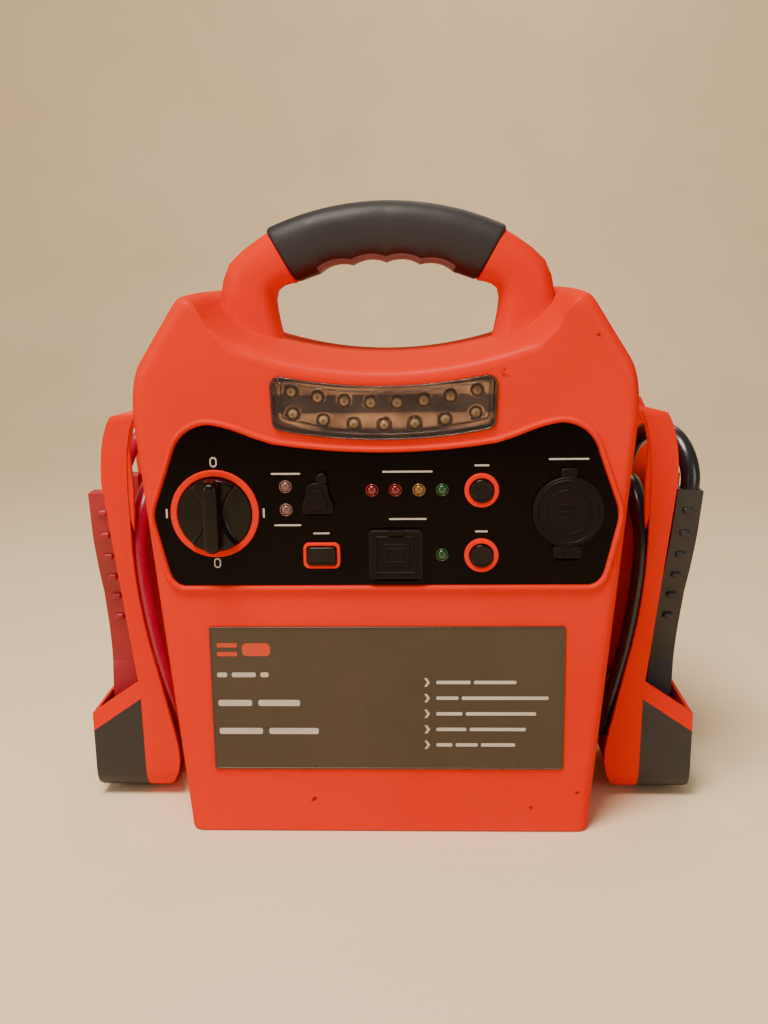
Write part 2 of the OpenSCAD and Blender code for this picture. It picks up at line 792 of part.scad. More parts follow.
// Clamps, drawn with the pivot at the origin and the handles up
pivot = [149.8, 0, 78];
right_lean = 4;
left_lean = 0.6;
handle_l = 92;
jaw_l = 60;
ear_w = 3;
pivot_r = 2;
module half_profile()
    polygon(concat(bend([-10.6, -8], [-10.2, 2], [-12, 12], 3),
        bend([-17, 34], [-26, 52], [-30, 70], 5), [[-32.4, handle_l], [-21.4, handle_l]],
        bend([-20.5, 72], [-17, 54], [-9, 34], 5), [[-3.4, 13.5], [-2.4, 9], [-1, 6], [5, 5],
        [6, 0], [5, -5], [-1, -6], [-1.6, -8], [-3.4, -14], [-3.4, 6 - jaw_l], [-2, -jaw_l],
        [-7, -jaw_l]], bend([-12, 8 - jaw_l], [-15, -30], [-11.6, -12], 5)));
module clamp_half_outer()
    translate([-clamp_w / 2, 0, 0])
        rotate([90, 0, 90])
            linear_extrude(clamp_w)
                half_profile();
module pivot_bar(r, half_l)
    translate([-half_l, 0, 0])
        rotate([0, 90, 0])
            cylinder(h = 2 * half_l, r = r);
// The fixed half has two ears, and the moving half has two tongues with the spring between them
module fixed_half()
    difference() {
        clamp_half_outer();
        box([-clamp_w / 2 + ear_w, -7.6, -7.6], [clamp_w / 2 - ear_w, 8, 8.8]);
        pivot_bar(pivot_r, 20);
    }
module moving_half()
    difference() {
        mirror([0, 1, 0]) clamp_half_outer();
        for (s = [0, 1])
            mirror([s, 0, 0])
                box([clamp_w / 2 - ear_w - 0.4, -8.4, -7.9], [clamp_w / 2 + 1, 7.9, 9]);
        pivot_bar(7.4, 1.9);
        pivot_bar(pivot_r + 0.05, 20);
    }
module at_clamp(s)
    translate([s * pivot.x, pivot.y, pivot.z])
        rotate([0, s > 0 ? right_lean : -left_lean, 0])
            children();
module left_clamp_fixed_half() color(red_c) at_clamp(-1) fixed_half();
module right_clamp_fixed_half() color(rubber_c) at_clamp(1) fixed_half();
module left_clamp_moving_half() color(red_c) at_clamp(-1) moving_half();
module right_clamp_moving_half() color(rubber_c) at_clamp(1) moving_half();
module clamp_pin()
    pivot_bar(pivot_r, clamp_w / 2 - 0.4);
module clamp_spring()
    difference() {
        pivot_bar(3.4, 1.6);
        pivot_bar(pivot_r, 3);
    }
// Each spring's node holds the pin that it is wound on as well.
module left_clamp_spring() color(steel_c) at_clamp(-1) { clamp_spring(); clamp_pin(); }
module right_clamp_spring() color(steel_c) at_clamp(1) { clamp_spring(); clamp_pin(); }
module jaw_plate()
    translate([-5, 0, 0])
        rotate([90, 0, 90])
            linear_extrude(10)
                polygon(concat([[-3.4, -jaw_l + 7], [-3.4, -16]],
                    [for (i = [0:9]) [i % 2 == 0 ? -0.6 : -1.8, -17 - i * 3.7]]));
module left_fixed_jaw_plate() color(copper_c) at_clamp(-1) jaw_plate();
module right_fixed_jaw_plate() color(copper_c) at_clamp(1) jaw_plate();
module left_moving_jaw_plate() color(copper_c) at_clamp(-1) mirror([0, 1, 0]) jaw_plate();
module right_moving_jaw_plate() color(copper_c) at_clamp(1) mirror([0, 1, 0]) jaw_plate();

front_shell();
rear_shell();
handle_frame();
handle_grip();
panel_fascia();
label_plate();
lamp_lens();
lamp_reflector();
lamp_leds();
lamp_board();
knob_ring();
rotary_knob();
rotary_switch();
control_board();
indicator_leds();
light_button_ring();
light_button();
round_button_rings();
test_button();
usb_button();
usb_socket();
usb_cover();
charge_jack();
charge_jack_cover();
outlet_socket();
outlet_cap();
battery();
busbars();
compressor_motor();
compressor_pump();
pressure_gauge();
gauge_needle();
compressor_switch();
rocker_pin();
compartment_door();
door_pin();
hose_outlet();
shell_screws();
left_tray();
right_tray();
left_pocket_cover();
right_pocket_cover();
left_tray_web();
right_tray_web();
left_hub();
right_hub();
left_lead();
right_lead();
left_lead_end();
right_lead_end();
left_clamp_fixed_half();
right_clamp_fixed_half();
left_clamp_moving_half();
right_clamp_moving_half();
left_clamp_spring();
right_clamp_spring();
left_fixed_jaw_plate();
right_fixed_jaw_plate();
left_moving_jaw_plate();
right_moving_jaw_plate();
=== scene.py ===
# Portable jump starter pack: its looks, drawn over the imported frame.
# Shapes are given in millimetres and made in metres. Lights are placed in metres.
import json
import math
import bmesh
import bpy
from mathutils import Matrix, Vector

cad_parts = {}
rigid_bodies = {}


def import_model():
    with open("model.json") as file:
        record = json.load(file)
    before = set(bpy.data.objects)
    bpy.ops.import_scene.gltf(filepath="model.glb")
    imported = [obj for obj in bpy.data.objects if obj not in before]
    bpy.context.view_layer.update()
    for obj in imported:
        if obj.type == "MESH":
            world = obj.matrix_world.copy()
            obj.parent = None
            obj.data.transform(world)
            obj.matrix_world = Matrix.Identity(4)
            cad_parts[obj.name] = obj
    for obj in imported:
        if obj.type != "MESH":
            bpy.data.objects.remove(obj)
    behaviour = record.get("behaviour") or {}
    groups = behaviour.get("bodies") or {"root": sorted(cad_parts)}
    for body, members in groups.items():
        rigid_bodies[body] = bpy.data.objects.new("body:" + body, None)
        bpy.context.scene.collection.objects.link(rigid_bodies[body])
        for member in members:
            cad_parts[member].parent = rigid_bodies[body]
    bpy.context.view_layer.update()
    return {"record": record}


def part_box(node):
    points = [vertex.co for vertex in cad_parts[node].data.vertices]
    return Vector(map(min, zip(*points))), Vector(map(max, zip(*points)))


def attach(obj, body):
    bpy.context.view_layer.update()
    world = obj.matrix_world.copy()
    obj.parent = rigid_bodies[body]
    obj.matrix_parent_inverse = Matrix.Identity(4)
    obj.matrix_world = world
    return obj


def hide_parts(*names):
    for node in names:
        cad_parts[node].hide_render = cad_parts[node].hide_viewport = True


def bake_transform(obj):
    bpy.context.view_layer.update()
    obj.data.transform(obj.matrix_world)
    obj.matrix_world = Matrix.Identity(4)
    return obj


for leftover in list(bpy.data.objects):
    bpy.data.objects.remove(leftover)
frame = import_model()
MM = 0.001
SAME_POINT = 0.05
SHARP_TURN = 38


# ---------- shape helpers ----------
def bend(a, b, c, n):
    """Points of a smooth bend from a to c, pulled towards b."""
    out = []
    for i in range(n + 1):
        t = i / n
        weights = ((1 - t) ** 2, 2 * t * (1 - t), t * t)
        out.append(tuple(sum(w * p[k] for w, p in zip(weights, (a, b, c))) for k in range(len(a))))
    return out


def smile(x0, x1, z0, radius, n):
    """Points of an arc whose middle has the height z0."""
    xs = [x0 + (x1 - x0) * i / n for i in range(n + 1)]
    return [(x, z0 + radius - math.sqrt(radius ** 2 - x * x)) for x in xs]


def outline_of(half):
    """A closed outline from its right half, without points that repeat their neighbour."""
    out = []
    for p in half + [(-x, z) for x, z in reversed(half[1:-1])]:
        if not out or math.dist(out[-1], p) > SAME_POINT:
            out.append(p)
    if math.dist(out[0], out[-1]) <= SAME_POINT:
        out.pop()
    return out


def offset(outline, d):
    """A closed outline, anticlockwise in X and Z, moved outwards by d."""
    out = []
    n = len(outline)
    for i in range(n):
        before = Vector(outline[i]) - Vector(outline[i - 1])
        after = Vector(outline[(i + 1) % n]) - Vector(outline[i])
        a = Vector((before.y, -before.x)).normalized()
        b = Vector((after.y, -after.x)).normalized()
        mid = (a + b).normalized()
        reach = d / max(mid.dot(a), 0.5)
        out.append((outline[i][0] + mid.x * reach, outline[i][1] + mid.y * reach))
    return out


def rounded_box(w, h, r, n=5):
    """Outline of a rectangle with round corners about the origin, anticlockwise."""
    out = []
    for cx, cz, start in ((1, -1, -90), (1, 1, 0), (-1, 1, 90), (-1, -1, 180)):
        for i in range(n + 1):
            a = math.radians(start + 90 * i / n)
            out.append((cx * (w / 2 - r) + r * math.cos(a), cz * (h / 2 - r) + r * math.sin(a)))
    return out


def circle(r, n=48):
    return [(r * math.cos(2 * math.pi * i / n), r * math.sin(2 * math.pi * i / n)) for i in range(n)]


def moved(outline, centre):
    return [(x + centre[0], z + centre[1]) for x, z in outline]


# ---------- mesh helpers ----------
def add_mesh(name, verts, faces, sharp=SHARP_TURN):
    """A mesh object from points in millimetres, shaded smooth except over sharp edges."""
    data = bpy.data.meshes.new(name)
    data.from_pydata([Vector(v) * MM for v in verts], [], faces)
    obj = bpy.data.objects.new(name, data)
    bpy.context.scene.collection.objects.link(obj)
    shade(obj, sharp)
    return obj


def shade(obj, sharp=SHARP_TURN):
    """Outward faces, smooth shading, and hard edges where the surface turns by more than sharp."""
    work = bmesh.new()
    work.from_mesh(obj.data)
    bmesh.ops.recalc_face_normals(work, faces=work.faces)
    for face in work.faces:
        face.smooth = len(face.verts) <= 4
    for edge in work.edges:
        edge.smooth = len(edge.link_faces) == 2 and edge.calc_face_angle(0) < math.radians(sharp)
    work.to_mesh(obj.data)
    work.free()


def loft(name, rings, caps=True, sharp=SHARP_TURN):
    """A skin over rings of equally many points, closed by a cap at each end."""
    n = len(rings[0])
    verts = [p for ring in rings for p in ring]
    faces = []
    for i in range(len(rings) - 1):
        for k in range(n):
            j = (k + 1) % n
            faces.append((i * n + k, i * n + j, (i + 1) * n + j, (i + 1) * n + k))
    if caps:
        faces.append(tuple(range(n - 1, -1, -1)))
        faces.append(tuple((len(rings) - 1) * n + k for k in range(n)))
    return add_mesh(name, verts, faces, sharp)


def slab(name, outline, steps, sharp=SHARP_TURN):
    """An X, Z outline stacked along Y: steps are pairs of y and outward offset."""
    rings = [[(x, y, z) for x, z in offset(outline, d)] for y, d in steps]
    return loft(name, rings, sharp=sharp)


def pillow(name, outline, y_back, y_front, r, n=4):
    """A plate with an X, Z outline whose front edge is rounded with radius r."""
    toward = -1 if y_front < y_back else 1
    steps = [(y_back, 0)]
    for i in range(n + 1):
        a = math.radians(90 * i / n)
        steps.append((y_front - toward * r * (1 - math.sin(a)), -r * (1 - math.cos(a))))
    return slab(name, outline, steps)


def join(name, objs):
    """One object from several."""
    work = bmesh.new()
    for obj in objs:
        obj.data.transform(obj.matrix_world)
        work.from_mesh(obj.data)
        bpy.data.objects.remove(obj)
    data = bpy.data.meshes.new(name)
    work.to_mesh(data)
    work.free()
    out = bpy.data.objects.new(name, data)
    bpy.context.scene.collection.objects.link(out)
    return out


def bake(obj):
    """Applies the object's modifiers."""
    graph = bpy.context.evaluated_depsgraph_get()
    data = bpy.data.meshes.new_from_object(obj.evaluated_get(graph))
    obj.modifiers.clear()
    obj.data = data
    return obj


def cut(obj, cutters, sharp=SHARP_TURN):
    """Takes closed cutters out of a closed mesh, and removes them."""
    for cutter in cutters:
        step = obj.modifiers.new("cut", "BOOLEAN")
        step.object = cutter
        step.operation = "DIFFERENCE"
        step.solver = "EXACT"
    bake(obj)
    for cutter in cutters:
        bpy.data.objects.remove(cutter)
    shade(obj, sharp)
    return obj


def ease(obj, width):
    """Rounds the sharp edges of an object by width millimetres."""
    weld = obj.modifiers.new("weld", "WELD")
    weld.merge_threshold = 1e-6
    edge = obj.modifiers.new("ease", "BEVEL")
    edge.width = width * MM
    edge.segments = 3
    edge.limit_method = "ANGLE"
    edge.angle_limit = math.radians(35)
    edge.use_clamp_overlap = True
    edge.harden_normals = True
    return obj


def dress(obj, slot, body="housing", stands_for=()):
    """Gives a new piece its material and its body, and hides the nodes it stands for."""
    obj.data.materials.clear()
    obj.data.materials.append(FINISH[slot])
    if body:
        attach(obj, body)
    if stands_for:
        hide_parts(*stands_for)
    return obj


PATH_STEPS = 3


def smooth_path(points):
    """A Catmull-Rom curve through the points, with PATH_STEPS steps from each to the next."""
    p = [Vector(q) for q in points]
    p = [2 * p[0] - p[1]] + p + [2 * p[-1] - p[-2]]
    out = []
    for i in range(1, len(p) - 2):
        for k in range(PATH_STEPS):
            t = k / PATH_STEPS
            a = 2 * p[i]
            b = p[i + 1] - p[i - 1]
            c = 2 * p[i - 1] - 5 * p[i] + 4 * p[i + 1] - p[i + 2]
            d = -p[i - 1] + 3 * p[i] - 3 * p[i + 1] + p[i + 2]
            out.append((a + b * t + c * t * t + d * t ** 3) / 2)
    out.append(p[-2])
    return out


TUBE_SIDES = 20


def tube(name, path, r):
    """A closed round tube along a path, without twist."""
    rings = []
    side = None
    for i, p in enumerate(path):
        along = (path[min(i + 1, len(path) - 1)] - path[max(i - 1, 0)]).normalized()
        if side is None:
            side = along.cross(Vector((1, 0.2, 0))).normalized()
        side = (side - along * side.dot(along)).normalized()
        other = along.cross(side)
        ring = []
        for k in range(TUBE_SIDES):
            a = 2 * math.pi * k / TUBE_SIDES
            ring.append(tuple(p + r * (math.cos(a) * side + math.sin(a) * other)))
        rings.append(ring)
    return loft(name, rings)


# ---------- camera and lights ----------
CAMERA_PLACE = (18.92, -603.64, 281.0)
CAMERA_SWING = 2.1
CAMERA_PITCH = 12.04
CAMERA_ROLL = -0.74
SENSOR = 36
LENS = 39.375


def make_camera():
    """Stands a little right of the middle, looks down a little and is turned slightly."""
    swing = math.radians(CAMERA_SWING)
    pitch = math.radians(CAMERA_PITCH)
    roll = math.radians(CAMERA_ROLL)
    ahead = math.cos(pitch)
    forward = Vector((-math.sin(swing) * ahead, math.cos(swing) * ahead, -math.sin(pitch)))
    level = Vector((math.cos(swing), math.sin(swing), 0))
    above = level.cross(forward)
    right = level * math.cos(roll) + above * math.sin(roll)
    up = above * math.cos(roll) - level * math.sin(roll)
    data = bpy.data.cameras.new("camera")
    data.sensor_width = SENSOR
    data.lens = LENS
    data.clip_start = 0.01
    camera = bpy.data.objects.new("camera", data)
    bpy.context.scene.collection.objects.link(camera)
    camera.matrix_world = Matrix((
        (right.x, up.x, -forward.x, CAMERA_PLACE[0] * MM),
        (right.y, up.y, -forward.y, CAMERA_PLACE[1] * MM),
        (right.z, up.z, -forward.z, CAMERA_PLACE[2] * MM),
        (0, 0, 0, 1),
    ))
    bpy.context.scene.camera = camera


def area_light(name, place, target, size, power, colour):
    data = bpy.data.lights.new(name, "AREA")
    data.shape = "DISK"
    data.size = size
    data.energy = power
    data.color = colour
    light = bpy.data.objects.new(name, data)
    bpy.context.scene.collection.objects.link(light)
    light.location = place
    light.rotation_mode = "QUATERNION"
    light.rotation_quaternion = (Vector(target) - Vector(place)).to_track_quat("-Z", "Y")


BODY_MIDDLE = (0, 0, 0.12)
BACKDROP_FOOT = (0, 0.5, 0.0)
FILL_COLOUR = (1, 0.92, 0.82)


def make_lights():
    """A warm key from above, two soft fills, and a light on the backdrop."""
    area_light("key", (-0.25, -0.55, 1.35), BODY_MIDDLE, 0.6, 27, (1, 0.90, 0.77))
    area_light("left_fill", (-1.1, -1.0, 0.6), BODY_MIDDLE, 0.8, 6.5, FILL_COLOUR)
    area_light("right_fill", (1.1, -1.2, 0.5), BODY_MIDDLE, 0.8, 5, FILL_COLOUR)
    area_light("back", (0.3, 1.1, 1.3), BACKDROP_FOOT, 0.9, 5, (1, 0.93, 0.85))
    world = bpy.data.worlds.new("world")
    world.use_nodes = True
    sky = world.node_tree.nodes["Background"]
    sky.inputs["Color"].default_value = (1, 0.95, 0.9, 1)
    sky.inputs["Strength"].default_value = 0.16
    bpy.context.scene.world = world


# ---------- materials ----------
class Surface:
    """Builds a material from noise in the object's own space."""

    def __init__(self, name):
        self.name = name
        self.material = bpy.data.materials.new(name)
        self.material.use_nodes = True
        self.tree = self.material.node_tree
        self.shader = self.tree.nodes["Principled BSDF"]
        self.place = self.tree.nodes.new("ShaderNodeTexCoord").outputs["Object"]
        self.bumps = None

    def node(self, kind, **values):
        made = self.tree.nodes.new(kind)
        for key, value in values.items():
            setattr(made, key, value)
        return made

    def link(self, a, b):
        self.tree.links.new(a, b)

    def noise(self, scale, detail=3, rough=0.55, stretch=None):
        made = self.node("ShaderNodeTexNoise")
        made.inputs["Scale"].default_value = scale
        made.inputs["Detail"].default_value = detail
        made.inputs["Roughness"].default_value = rough
        if stretch:
            grid = self.node("ShaderNodeMapping")
            grid.inputs["Scale"].default_value = stretch
            self.link(self.place, grid.inputs["Vector"])
            self.link(grid.outputs["Vector"], made.inputs["Vector"])
        else:
            self.link(self.place, made.inputs["Vector"])
        return made.outputs["Fac"]

    def ramp(self, value, low, high, a, b):
        """Runs from a to b as the value goes from low to high."""
        made = self.node("ShaderNodeMapRange")
        made.inputs["From Min"].default_value = low
        made.inputs["From Max"].default_value = high
        made.inputs["To Min"].default_value = a
        made.inputs["To Max"].default_value = b
        self.link(value, made.inputs["Value"])
        return made.outputs["Result"]

    def mix(self, value, a, b):
        """Mixes two colours; either may be a socket."""
        made = self.node("ShaderNodeMix", data_type="RGBA")
        self.link(value, made.inputs["Factor"])
        for side, colour in (("A", a), ("B", b)):
            socket = [s for s in made.inputs if s.name == side and s.type == "RGBA"][0]
            if isinstance(colour, tuple):
                socket.default_value = colour + (1,)
            else:
                self.link(colour, socket)
        return [s for s in made.outputs if s.type == "RGBA"][0]

    def spot(self, place, size):
        """A ragged patch of about the given size in millimetres round a place, 0 outside it."""
        away = self.node("ShaderNodeVectorMath", operation="DISTANCE")
        away.inputs[1].default_value = Vector(place) * MM
        self.link(self.place, away.inputs[0])
        ragged = self.node("ShaderNodeMath", operation="MULTIPLY_ADD")
        ragged.inputs[1].default_value = -4.5 * size * MM
        self.link(self.noise(420, 4, 0.7), ragged.inputs[0])
        self.link(away.outputs["Value"], ragged.inputs[2])
        return self.ramp(ragged.outputs["Value"], -2.0 * size * MM, -1.5 * size * MM, 0.85, 0)

    def colour(self, socket):
        self.link(socket, self.shader.inputs["Base Color"])

    def rough(self, socket):
        self.link(socket, self.shader.inputs["Roughness"])

    def bump(self, socket, depth):
        """Raises the surface by depth millimetres where the socket is 1."""
        made = self.node("ShaderNodeBump")
        made.inputs["Strength"].default_value = 1
        made.inputs["Distance"].default_value = depth * MM
        self.link(socket, made.inputs["Height"])
        if self.bumps:
            self.link(self.bumps, made.inputs["Normal"])
        self.bumps = made.outputs["Normal"]
        self.link(self.bumps, self.shader.inputs["Normal"])

    def set(self, **values):
        for key, value in values.items():
            self.shader.inputs[key.replace("_", " ")].default_value = value


def moulded(name, colour, shade_colour, rough, grain, depth, **sockets):
    """Moulded plastic or rubber: patchy colour, fine grain and uneven gloss."""
    s = Surface(name)
    s.colour(s.mix(s.ramp(s.noise(22, 4), 0.35, 0.65, 0, 1), colour, shade_colour))
    s.rough(s.ramp(s.noise(60, 4), 0.3, 0.7, rough[0], rough[1]))
    s.bump(s.noise(grain, 2), depth)
    s.bump(s.noise(45, 2), 0.08)
    s.set(**sockets)
    return s


# Place and size of each small scuff on the shell
SCUFFS = [
    ((101, -71, 251), 4.5), ((57, -73, 236), 3.5), ((62, -72, 236.5), 2.2), ((117, -69, 236), 2.0),
    ((-38, -75, 18), 1.6), ((72, -75, 14), 2.0), ((96, -75, 22), 1.4), ((84, 10, 252), 3.0),
]


def shell_plastic():
    """Bright satin plastic with faint dirt, small scuffs and a fine grain."""
    s = Surface("shell")
    base = s.mix(s.ramp(s.noise(9, 3), 0.35, 0.65, 0, 1), (0.76, 0.018, 0.0004), (0.70, 0.015, 0.0003))
    worn = s.ramp(s.noise(70, 6, 0.7), 0.63, 0.75, 0, 0.35)
    dirty = s.mix(worn, base, (0.46, 0.008, 0.0006))
    specks = s.ramp(s.noise(240, 2, 0.5), 0.775, 0.80, 0, 0.8)
    marked = s.mix(specks, dirty, (0.12, 0.02, 0.01))
    for place, size in SCUFFS:
        marked = s.mix(s.spot(place, size), marked, (0.10, 0.012, 0.006))
    s.colour(marked)
    s.rough(s.ramp(s.noise(55, 5, 0.65), 0.3, 0.7, 0.38, 0.54))
    s.bump(s.noise(1100, 2), 0.012)
    s.bump(s.noise(30, 2), 0.10)
    s.set(Specular_IOR_Level=0.0, Coat_Weight=0.12, Coat_Roughness=0.3)
    return s


def brushed(name, colour, dark, rough, stretch):
    """Metal with fine lines along one direction."""
    s = Surface(name)
    s.colour(s.mix(s.ramp(s.noise(60, 4), 0.3, 0.7, 0, 1), colour, dark))
    lines = s.noise(900, 3, 0.6, stretch)
    s.rough(s.ramp(lines, 0.3, 0.7, rough[0], rough[1]))
    s.bump(lines, 0.01)
    s.set(Metallic=1.0)
    return s


def printed_label():
    """Satin film on the front, slightly mottled."""
    s = Surface("label")
    patches = s.ramp(s.noise(14, 4), 0.35, 0.65, 0, 1)
    s.colour(s.mix(patches, (0.050, 0.031, 0.018), (0.041, 0.025, 0.014)))
    s.rough(s.ramp(s.noise(40, 5, 0.6), 0.3, 0.7, 0.24, 0.36))
    s.bump(s.noise(900, 2), 0.006)
    s.bump(s.noise(16, 2), 0.12)
    return s


def clear_plastic():
    s = Surface("clear")
    s.colour(s.mix(s.noise(50, 3), (0.30, 0.23, 0.19), (0.24, 0.18, 0.15)))
    s.rough(s.ramp(s.noise(120, 4), 0.3, 0.7, 0.03, 0.10))
    s.bump(s.noise(25, 2), 0.10)
    s.set(Alpha=0.06, Specular_IOR_Level=0.7)
    return s


def smoked_plastic():
    """Dark clear rim of the lamp."""
    s = Surface("smoked")
    s.colour(s.mix(s.noise(70, 3), (0.10, 0.050, 0.042), (0.05, 0.024, 0.020)))
    s.rough(s.ramp(s.noise(120, 4), 0.3, 0.7, 0.05, 0.16))
    s.bump(s.noise(60, 2), 0.05)
    s.set(Alpha=0.6, Specular_IOR_Level=0.6)
    return s


def glowing(name, colour, deep):
    """Coloured clear resin of an indicator."""
    s = Surface(name)
    s.colour(s.mix(s.ramp(s.noise(400, 3), 0.3, 0.7, 0, 1), colour, deep))
    s.rough(s.ramp(s.noise(300, 3), 0.3, 0.7, 0.12, 0.22))
    s.set(Coat_Weight=0.4, Coat_Roughness=0.06)
    return s


# Name, two colours, lowest and highest roughness, scale of the grain and its depth
MOULDED = [
    ("rubber", (0.014, 0.012, 0.012), (0.010, 0.0085, 0.0085), (0.50, 0.66), 900, 0.03),
    ("dark_plastic", (0.020, 0.017, 0.019), (0.014, 0.012, 0.014), (0.42, 0.58), 800, 0.03),
    ("led", (0.42, 0.27, 0.12), (0.26, 0.16, 0.07), (0.10, 0.2), 300, 0.004),
    ("circuit_board", (0.02, 0.10, 0.04), (0.012, 0.07, 0.03), (0.25, 0.4), 700, 0.02),
    ("battery_case", (0.022, 0.022, 0.028), (0.016, 0.016, 0.02), (0.4, 0.55), 700, 0.02),
    ("gauge", (0.80, 0.79, 0.75), (0.74, 0.73, 0.69), (0.25, 0.4), 700, 0.004),
    ("needle", (0.55, 0.02, 0.012), (0.42, 0.015, 0.01), (0.3, 0.42), 700, 0.02),
    ("red_plastic", (0.38, 0.006, 0.022), (0.30, 0.0045, 0.016), (0.34, 0.48), 900, 0.02),
    ("black_plastic", (0.022, 0.022, 0.027), (0.016, 0.016, 0.019), (0.40, 0.54), 900, 0.02),
    ("print", (0.56, 0.50, 0.44), (0.48, 0.43, 0.38), (0.4, 0.5), 900, 0.002),
    ("print_orange", (0.62, 0.045, 0.010), (0.55, 0.038, 0.008), (0.35, 0.45), 900, 0.002),
    # A lighter copy of the rubber that paints sheen on the faces of the grip's finger hollows
    ("grip_hollow_sheen", (0.17, 0.18, 0.185), (0.13, 0.14, 0.145), (0.5, 0.64), 900, 0.03),
]
# The same, and how strongly the surface reflects
GLOSSY = [
    ("gloss_black", (0.0030, 0.0010, 0.0007), (0.0018, 0.0006, 0.0004), (0.12, 0.24), 500, 0.003, 0.08),
    ("knob_black", (0.0055, 0.0024, 0.0017), (0.0034, 0.0016, 0.0011), (0.16, 0.30), 600, 0.006, 0.25),
    ("flap_rubber", (0.0065, 0.0032, 0.0024), (0.0042, 0.0022, 0.0017), (0.42, 0.58), 900, 0.02, 0.15),
]
CABLES = [
    ("red_cable", (0.42, 0.002, 0.045), (0.34, 0.0015, 0.034), (0.20, 0.32), 260, 0.02),
    ("black_cable", (0.014, 0.014, 0.016), (0.009, 0.009, 0.010), (0.22, 0.34), 260, 0.02),
]
# Name, two colours, lowest and highest roughness, and how the noise is stretched
METALS = [
    # The reflector's two colours, bright and dark brown, are painted reflection: mirrored light and
    # dark patches
    ("reflector", (0.46, 0.28, 0.20), (0.10, 0.05, 0.043), (0.04, 0.12), (1, 1, 1)),
    ("steel", (0.60, 0.59, 0.57), (0.48, 0.47, 0.46), (0.22, 0.38), (1, 12, 1)),
    ("copper", (0.72, 0.36, 0.20), (0.55, 0.25, 0.13), (0.25, 0.42), (12, 1, 1)),
    ("aluminium", (0.56, 0.56, 0.57), (0.44, 0.44, 0.45), (0.35, 0.55), (1, 1, 1)),
    ("motor_steel", (0.50, 0.50, 0.51), (0.40, 0.40, 0.41), (0.25, 0.4), (1, 12, 12)),
    ("brass", (0.74, 0.54, 0.24), (0.60, 0.42, 0.17), (0.22, 0.36), (12, 1, 12)),
]
RESINS = [
    ("indicator", (0.20, 0.085, 0.075), (0.12, 0.05, 0.045)),
    ("lamp_red", (0.17, 0.003, 0.005), (0.09, 0.0015, 0.003)),
    ("lamp_amber", (0.24, 0.10, 0.010), (0.14, 0.055, 0.006)),
    ("lamp_green", (0.012, 0.060, 0.014), (0.006, 0.035, 0.008)),
]


def make_finishes():
    """Every material under its slot's name."""
    made = [shell_plastic(), printed_label(), clear_plastic(), smoked_plastic()]
    made += [moulded(*row) for row in MOULDED]
    made += [moulded(*row, Specular_IOR_Level=shine) for *row, shine in GLOSSY]
    made += [moulded(*row, Coat_Weight=0.25, Coat_Roughness=0.15) for row in CABLES]
    made += [brushed(*row) for row in METALS]
    made += [glowing(*row) for row in RESINS]
    return {surface.name: surface.material for surface in made}


# ---------- leads ----------
LEAD_R = 5
LEAD_ROUTE = [
    (120.5, 16, 90), (120.5, 16, 104), (121.5, 16, 120), (123, 16, 136), (125, 15, 150),
    (127, 9.5, 162), (128.5, 0, 169), (129.5, -11, 169.5), (130.5, -21, 163), (132.6, -27, 152),
    (133.4, -29, 140), (132.8, -29.5, 126), (131.2, -29.5, 111), (128.9, -29.5, 96),
    (126, -29.5, 81), (122.6, -29, 67), (119.5, -26.5, 53), (118, -20.5, 40), (117, -11, 30),
    (116.6, 0, 26), (117, 11, 28), (118, 21, 36), (119, 27, 48), (120, 29.5, 62),
    (121.5, 29.5, 77), (123, 29.5, 92), (124.6, 29.5, 107), (126.2, 29.5, 123), (128, 29.5, 139),
    (130, 29.5, 155),
]
LEAD_ENDS = {
    "right": [
        (132, 28.5, 169), (134.5, 24.5, 182), (138, 16, 191), (142.5, 6, 196), (147.5, -5, 197),
        (152.3, -15, 193.4), (155.6, -22, 186), (157.2, -25.6, 177), (156.8, -26.8, 169),
        (155.8, -26.6, 160),
    ],
    "left": [
        (131.5, 28.5, 169), (132.8, 24.5, 181), (134.2, 16, 189), (135.8, 6, 193), (137.6, -5, 193),
        (139.4, -14, 189.6), (141.2, -20.6, 183), (143.4, -24.8, 175.4), (146.4, -26.6, 167.4),
        (149, -26.6, 160),
    ],
}
# The tail starts at this point of the route
TAIL_FROM = 23
SIDES = {"left": -1, "right": 1}
CABLE = {"left": "red_cable", "right": "black_cable"}
CLAMP = {"left": "red_plastic", "right": "black_plastic"}


def make_lead(side):
    """A lead in two stretches: the wound part stays put with the housing, and the tail is left in no
    body.
    """
    s = SIDES[side]
    points = [(s * x, y, z) for x, y, z in LEAD_ROUTE + LEAD_ENDS[side]]
    whole = smooth_path(points)
    split = TAIL_FROM * PATH_STEPS
    wound = whole[:split + 1]
    tail = whole[split:]
    first = tube(side + "_lead_wound", wound, LEAD_R)
    dress(first, CABLE[side], "housing", (side + "_lead",))
    last = tube(side + "_lead_tail", tail, LEAD_R)
    dress(last, CABLE[side], None, (side + "_lead_end",))
    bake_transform(last)


# ---------- body ----------
BODY_W = 243
BASE_W = 203
TOP_Z = 240
FRONT_Y = -75
REAR_Y = 75
WALL = 3
EDGE_R = 5.5
FRONT_SINK = 3.6
BASE_EASE = 0.22


def body_half(d=0, sink=0):
    """Front outline of the body, right half, drawn inwards by d, with its top lowered by sink."""
    w = BODY_W / 2 - d
    b = BASE_W / 2 - d
    low = d * BASE_EASE
    return (
        [(0, low)]
        + bend((b - 2, low), (b, low), (b + 0.3, 2 + low), 3)
        + [(b + 0.3 + (w - 1.3 - b) * t, 2 + low + (204 - low) * t) for t in (0.33, 0.67)]
        + bend((w - 1, 206), (w + 1.2, 231 - d * 0.6), (w - 5.2, 241 - d * 0.9), 9)
        + bend((101 - d, 265 - d), (93 - d * 0.8, 281 - d - sink * 0.5),
               (85 - d * 0.5, 264 - d - sink), 8)
        + smile(73, 0, TOP_Z - d - sink, 205, 10)
    )


def body_ring(y, d, sink):
    """The whole outline of the body as a ring at y."""
    half = body_half(d, sink)
    outline = half[1:] + [(-x, z) for x, z in reversed(half[1:-1])]
    return [(x, y, z) for x, z in outline]


